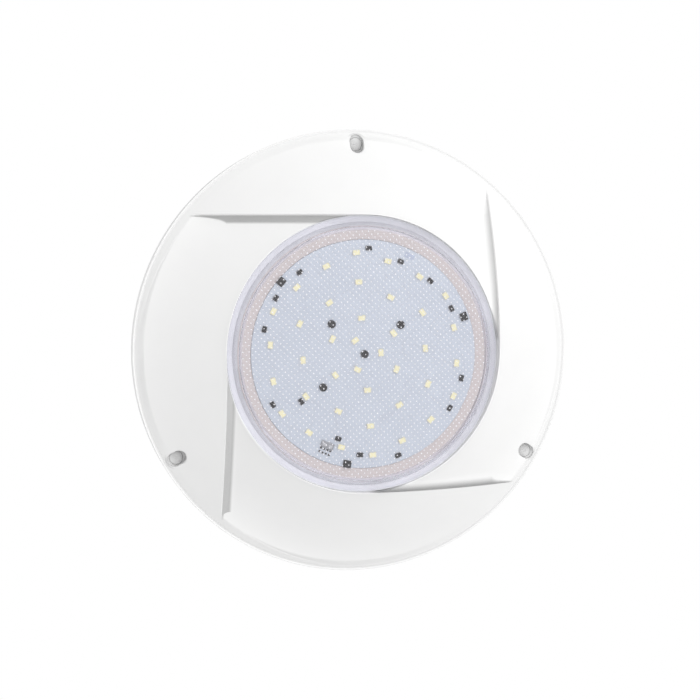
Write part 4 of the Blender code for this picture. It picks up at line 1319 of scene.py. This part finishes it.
def pocket(low_r, high_r, count, k):
    """Cutter for one of count shallow pockets in the bracket's back, between thin webs."""
    web_half, corner = 1.1, 0.6
    span, mid = math.pi / count, TAU * (k + 0.5) / count
    outline = []
    for r, steps, way in ((low_r, 6, 1), (high_r, 10, -1)):
        half = span - math.asin(web_half / r)
        soft = 1.6 / r
        arc = [(r, -half + soft + 2 * (half - soft) * q / steps) for q in range(steps + 1)]
        arc = [(r + corner * way, -half), *arc, (r + corner * way, half)]
        outline += [on_circle(radius, mid + way * angle) for radius, angle in arc]
    return prism(outline, -1.0, 1.1)


def bracket_profile():
    """Plate with a collar round its middle hole and a raised ring further out."""
    top, outer_r, hole_r = BRACKET_T, 139.5, 45.0
    return [
        (hole_r, 0), (outer_r, 0), (outer_r, top), (120.0, top, 0), (120.0, top + 4.0),
        (117.6, top + 4.0), (117.6, top, 0), (hole_r + 2.6, top, 0),
        (hole_r + 2.6, top + 5.0), (hole_r, top + 5.0)]


def bracket_mesh():
    plate = lathe(fillet(bracket_profile(), 0.35), FINE, turn=math.radians(2.6))
    slot = prism(slot_outline(5.4, 2.9, 12), -2.0, 8.0)
    slots = [shifted(slot, (*polar(WALL_R, a), 0), a + 90) for a in WALL_ANGLES]
    post_r, post_top = 6.6, FIX_POST_H - GAP
    post = lathe(fillet([(0, 1.0), (post_r, 1.0, 0), (post_r, post_top, 0.4),
                         (0, post_top)], 0), 48)
    bore = cylinder(4.2, -2, 12, 48)
    posts, bores = [], []
    for angle, spot in zip(FIX_ANGLES, FIX_SPOTS):
        posts.append(shifted(post, (*spot, 0), angle + 3))
        bores.append(shifted(bore, (*spot, 0), angle + 3))
    rib = prism([(46.6, -1.1), (118.6, -1.1), (118.6, 1.1), (46.6, 1.1)],
                BRACKET_T - 1.0, BRACKET_T + 3.4)
    pockets = []
    for low_r, high_r, count in ((50.0, 96.5, 12), (113.5, 127.0, 24)):
        pockets += [pocket(low_r, high_r, count, k) for k in range(count)]
    mesh = carved(mesh_of("backing_bracket", plate, BRACKET), [
        ("DIFFERENCE", slots),
        ("DIFFERENCE", pockets),
        ("UNION", posts),
        ("DIFFERENCE", bores),
        ("UNION", [shifted(rib, degrees=60.0 * k) for k in range(6)]),
    ])
    # Fills the sliver holes that the Booleans can leave.
    clean(mesh, heal=True)
    smooth(mesh, 32.0)
    return mesh


place("retaining_ring", clamp_mesh(), "clamp_ring")
place("backing_bracket", bracket_mesh(), "wall_bracket", body="wall_side")


# ------------------------------------------------------------------ gland


def barrel_mesh():
    """Hollow barrel with a hexagonal collar between two threads."""
    segments, thread_pitch = 72, 1.5
    outline = [(7.0, 6.8), (8.6, 6.8), (9.4, 7.5)]
    for k in range(60):
        outline.append((9.25, 7.8 + (COLLAR_TOP - 4.3 - 7.8) * k / 59, "thread"))
    outline += [
        (9.0, COLLAR_TOP - 4.2), (13.1, COLLAR_TOP - 4.0, "hex"), (13.5, COLLAR_TOP - 3.6, "hex"),
        (13.5, COLLAR_TOP - 0.4, "hex"), (13.1, COLLAR_TOP, "hex"), (9.6, COLLAR_TOP)]
    start = COLLAR_TOP + 0.3
    for k in range(50):
        outline.append((9.9, start + (30.4 - start) * k / 49, "thread"))
    outline += [(9.4, 31.0), (5.6, 31.0), (5.6, 13.6), (7.0, 13.6)]
    rings = []
    for r, h, *kind in outline:
        if kind == ["hex"]:
            radii = hex_radii(r, segments, corner=1.13)
        elif kind == ["thread"]:
            turns = [h / thread_pitch - q / segments for q in range(segments)]
            radii = [r + 0.28 * (1 - zigzag(turn)) for turn in turns]
        else:
            radii = [r] * segments
        rings.append(ring_of(radii, h))
    return mesh_of("gland_barrel", loft(rings, closed=True), NYLON, angle=40)


def gland_seal_mesh():
    top = SHELL_BACK_H - GAP
    profile = section(10.5, 13.4, top - GLAND_WASHER_T, top)
    return lathe_mesh("gland_seal", profile, EPDM, segments=72, radius=0.3)


def backnut_mesh():
    floor = SHELL_BACK_H + SHELL_FLOOR_T
    profile = [
        (10.6, floor + 0.6), (10.9, floor + GAP), (12.1, floor + GAP, "hex"),
        (12.5, floor + 0.7, "hex"), (12.5, floor + 3.5, "hex"), (12.1, floor + 3.9, "hex"),
        (10.9, floor + 3.9), (10.6, floor + 3.6)]
    return mesh_of("gland_backnut", lathe(profile, 96), NYLON, angle=40)


def dome_nut_mesh():
    """Compression nut: domed mouth, then a hexagon."""
    top = COLLAR_TOP - COLLAR_T
    profile = [
        (5.0, 3.0), (5.4, 2.4), (7.4, 2.4), (8.4, 2.7), (9.8, 3.7), (11.0, 4.9), (11.7, 6.6),
        (12.0, 8.3), (12.3, 8.6, "hex"), (12.6, 9.0, "hex"), (12.6, top - 0.4, "hex"),
        (12.2, top, "hex"), (10.2, top), (9.9, top - 0.3), (9.9, 6.4), (7.2, 5.2), (5.0, 5.2)]
    return mesh_of("gland_dome_nut", lathe(profile, 144), NYLON, angle=38)


place("gland_barrel", barrel_mesh(), "gland_body")
place("gland_seal", gland_seal_mesh(), "gland_washer")
place("gland_backnut", backnut_mesh(), "gland_locknut")
bush = section(4.5, 6.7, 5.6, 13.2)
place("gland_compression_bush", lathe_mesh("gland_compression_bush", bush, EPDM, 64, radius=0.4),
      "gland_bush")
place("gland_dome_nut", dome_nut_mesh(), "gland_nut")


# ------------------------------------------------------------------ cable

SHEATH_END_H, CORE_END_H, STRAND_END_H = -40.0, -46.0, -50.0
CORE_R, STRAND_R, STRAND_RING_R = 1.25, 0.27, 0.56
CORE_SPREAD, CORE_SPREAD_WIDE = 1.5, 2.2  # each core's distance from the pair's middle


def tube(points, radius, sides):
    """A capped tube along points, without twist."""
    pts = [Vector(p) for p in points]
    last = len(pts) - 1
    tangents = [(pts[min(i + 1, last)] - pts[max(i - 1, 0)]).normalized() for i in range(last + 1)]
    side = tangents[0].orthogonal().normalized()
    rings = []
    for p, tangent in zip(pts, tangents):
        side = (side - tangent * side.dot(tangent)).normalized()
        up = tangent.cross(side)
        ring = []
        for k in range(sides):
            a = TAU * k / sides
            ring.append(tuple(p + (side * math.cos(a) + up * math.sin(a)) * radius))
        rings.append(ring)
    return loft(rings, bottom=True, top=True)


def core_point(side, along, h, spread):
    """A place on a core: along the way out to the terminal, side 1 or -1 of its middle line."""
    c, s = polar(1.0, WIRE_ANGLE)
    return Vector((c * along, s * along, h)) + Vector((-s, c, 0)) * side * spread


def core_path(side):
    """Up the axis, outwards behind the spreader, and up to the board."""
    bend, level = 4.0, 35.0
    pts = [core_point(side, 0, h, CORE_SPREAD) for h in (CORE_END_H, CORE_END_H + 1.0, 20.0, 30.0)]
    for k in range(1, 11):
        x, y = on_circle(bend, math.pi / 2 * k / 10)
        pts.append(core_point(side, bend - x, level - bend + y, CORE_SPREAD))
    pts += [core_point(side, along, level, CORE_SPREAD_WIDE) for along in (20.0, 42.0)]
    for k in range(11):
        x, y = on_circle(bend, math.pi / 2 * k / 10)
        pts.append(core_point(side, WIRE_R - bend + y, level + bend - x, CORE_SPREAD_WIDE))
    pts.append(core_point(side, WIRE_R, BOARD_H - GAP, CORE_SPREAD_WIDE))
    return pts


def strands_mesh(name, side):
    """Seven bare strands at the cable's free end, cut a little unevenly."""
    first = core_point(side, 0, STRAND_END_H, CORE_SPREAD)
    strands = []
    for k in range(7):
        x, y = (0, 0) if k == 0 else polar(STRAND_RING_R, 60.0 * k)
        line = [first + Vector((x, y, h)) for h in (0.35 * (k % 3), 2.5, 5.0)]
        strands.append(tube(line, STRAND_R, 10))
    return mesh_of(name, joined(strands), COPPER, angle=40)


sheath = section(3.2, 4.2, SHEATH_END_H, 29.0)
place("cable_sheath", lathe_mesh("cable_sheath", sheath, JACKET, 64),
      "supply_cable")
for name, side, finish in (("brown", 1, CORE_BROWN), ("blue", -1, CORE_BLUE)):
    core = mesh_of(f"core_{name}", tube(core_path(side), CORE_R, 24), finish, angle=40)
    place(f"core_{name}", core, f"cable_core_{name}")
    place(f"strands_{name}", strands_mesh(f"strands_{name}", side))


# ------------------------------------------------------------------ stage, light, camera

scene = bpy.context.scene
scene.view_settings.view_transform = "Standard"
scene.view_settings.look = "None"
scene.view_settings.exposure = 0.0
scene.view_settings.gamma = 1.0

FLOOR_Z = -0.285
FLOOR_TONE = (0.9, 0.93)
FLOOR_GLOW = (0.1, 0.85)  # emission for other rays and for camera rays

BASE_LIGHT, FRONT_LIGHT, SIDE_LIGHT = 0.45, 1.10, 1.7  # strengths of the world's glow
SIDE_FOCUS = 6.0  # power that narrows the side glow
GLOSSY_SHARE = 0.6  # strength of the glow in glossy reflections
FRONT = Vector((0.33, -0.92, 0.20)).normalized()
SIDE = Vector((-0.70, 0.71, 0.0)).normalized()

KEY_PLACE, KEY_SIZE, KEY_POWER = (0.95, -1.75, 0.95), 1.1, 3.0


def floor_material():
    """Pale and glowing, clear from below."""
    mat = bpy.data.materials.new("pale_floor")
    n = Nodes(mat)
    bsdf = n.tree.nodes["Principled BSDF"]
    noise = n.node("ShaderNodeTexNoise", {"Scale": 8}).outputs["Fac"]
    camera_ray = n.node("ShaderNodeLightPath").outputs["Is Camera Ray"]
    inputs = {
        "Roughness": 0.9,
        "Specular IOR Level": 0.1,
        "Base Color": n.span(noise, *FLOOR_TONE, start=0.0, end=1.0),
        "Emission Color": (1, 1, 1, 1),
        "Emission Strength": n.span(camera_ray, *FLOOR_GLOW, start=0.0, end=1.0),
    }
    for key, value in inputs.items():
        n.feed(bsdf.inputs[key], value)
    backfacing = n.node("ShaderNodeNewGeometry").outputs["Backfacing"]
    clear = n.node("ShaderNodeBsdfTransparent")
    surface = n.mix_shader(backfacing, bsdf.outputs[0], clear.outputs[0])
    n.feed(n.tree.nodes["Material Output"].inputs["Surface"], surface)
    return mat


def pale_floor():
    disc = lathe([(0, 0), (400, 0), (1500, 0), (6000, 0)], 64, closed=False)
    mesh = raw_mesh("floor", disc)
    mesh.materials.append(floor_material())
    obj = bpy.data.objects.new("floor", mesh)
    scene.collection.objects.link(obj)
    obj.location = (0, 0, FLOOR_Z)


def studio_world():
    """A glow all across the front and one to the left behind, on a dim base.

    The backdrop itself is white to the camera.
    """
    world = bpy.data.worlds.new("studio")
    scene.world = world
    n = Nodes(world)
    coord = n.node("ShaderNodeTexCoord").outputs["Generated"]

    def towards(direction):
        inputs = {0: coord, 1: direction}
        dot = n.node("ShaderNodeVectorMath", inputs, operation="DOT_PRODUCT")
        return n.calc("MAXIMUM", dot.outputs["Value"], 0.0)

    lobe = n.times(towards(FRONT), 1.0)
    front = n.span(lobe, BASE_LIGHT, BASE_LIGHT + FRONT_LIGHT, start=0.0, end=1.0)
    narrow = n.calc("POWER", towards(SIDE), SIDE_FOCUS)
    both = n.calc("MULTIPLY_ADD", narrow, SIDE_LIGHT, front)
    path = n.node("ShaderNodeLightPath").outputs
    dimming = n.span(path["Is Glossy Ray"], 1.0, GLOSSY_SHARE, start=0.0, end=1.0)
    glow = n.times(both, dimming)
    strength = n.node("ShaderNodeMix", {0: path["Is Camera Ray"], 2: glow, 3: 1.0})
    background = n.tree.nodes["Background"]
    n.feed(background.inputs["Color"], (1, 1, 1, 1))
    n.feed(background.inputs["Strength"], strength.outputs[0])


def key_light():
    """A round soft light aimed at the origin."""
    data = bpy.data.lights.new("key", "AREA")
    data.shape, data.size, data.energy = "DISK", KEY_SIZE, KEY_POWER
    obj = bpy.data.objects.new("key", data)
    scene.collection.objects.link(obj)
    obj.location = KEY_PLACE
    obj.rotation_euler = (-Vector(KEY_PLACE)).to_track_quat("-Z", "Y").to_euler()


def view_camera():
    camera = bpy.data.objects.new("camera", bpy.data.cameras.new("camera"))
    scene.collection.objects.link(camera)
    camera.data.sensor_width = 36.0
    camera.data.lens = 79.912
    camera.data.clip_start, camera.data.clip_end = 0.05, 50
    right = Vector((0.979114, -0.203278, 0.003849))
    up = Vector((0.007743, 0.0562, 0.99839))
    back = Vector((-0.203167, -0.977507, 0.0566))
    rotation = Matrix((right, up, back)).transposed().to_4x4()
    camera.matrix_world = Matrix.Translation((-0.210454, -1.01162, 0.058744)) @ rotation
    scene.camera = camera


pale_floor()
studio_world()
key_light()
view_camera()
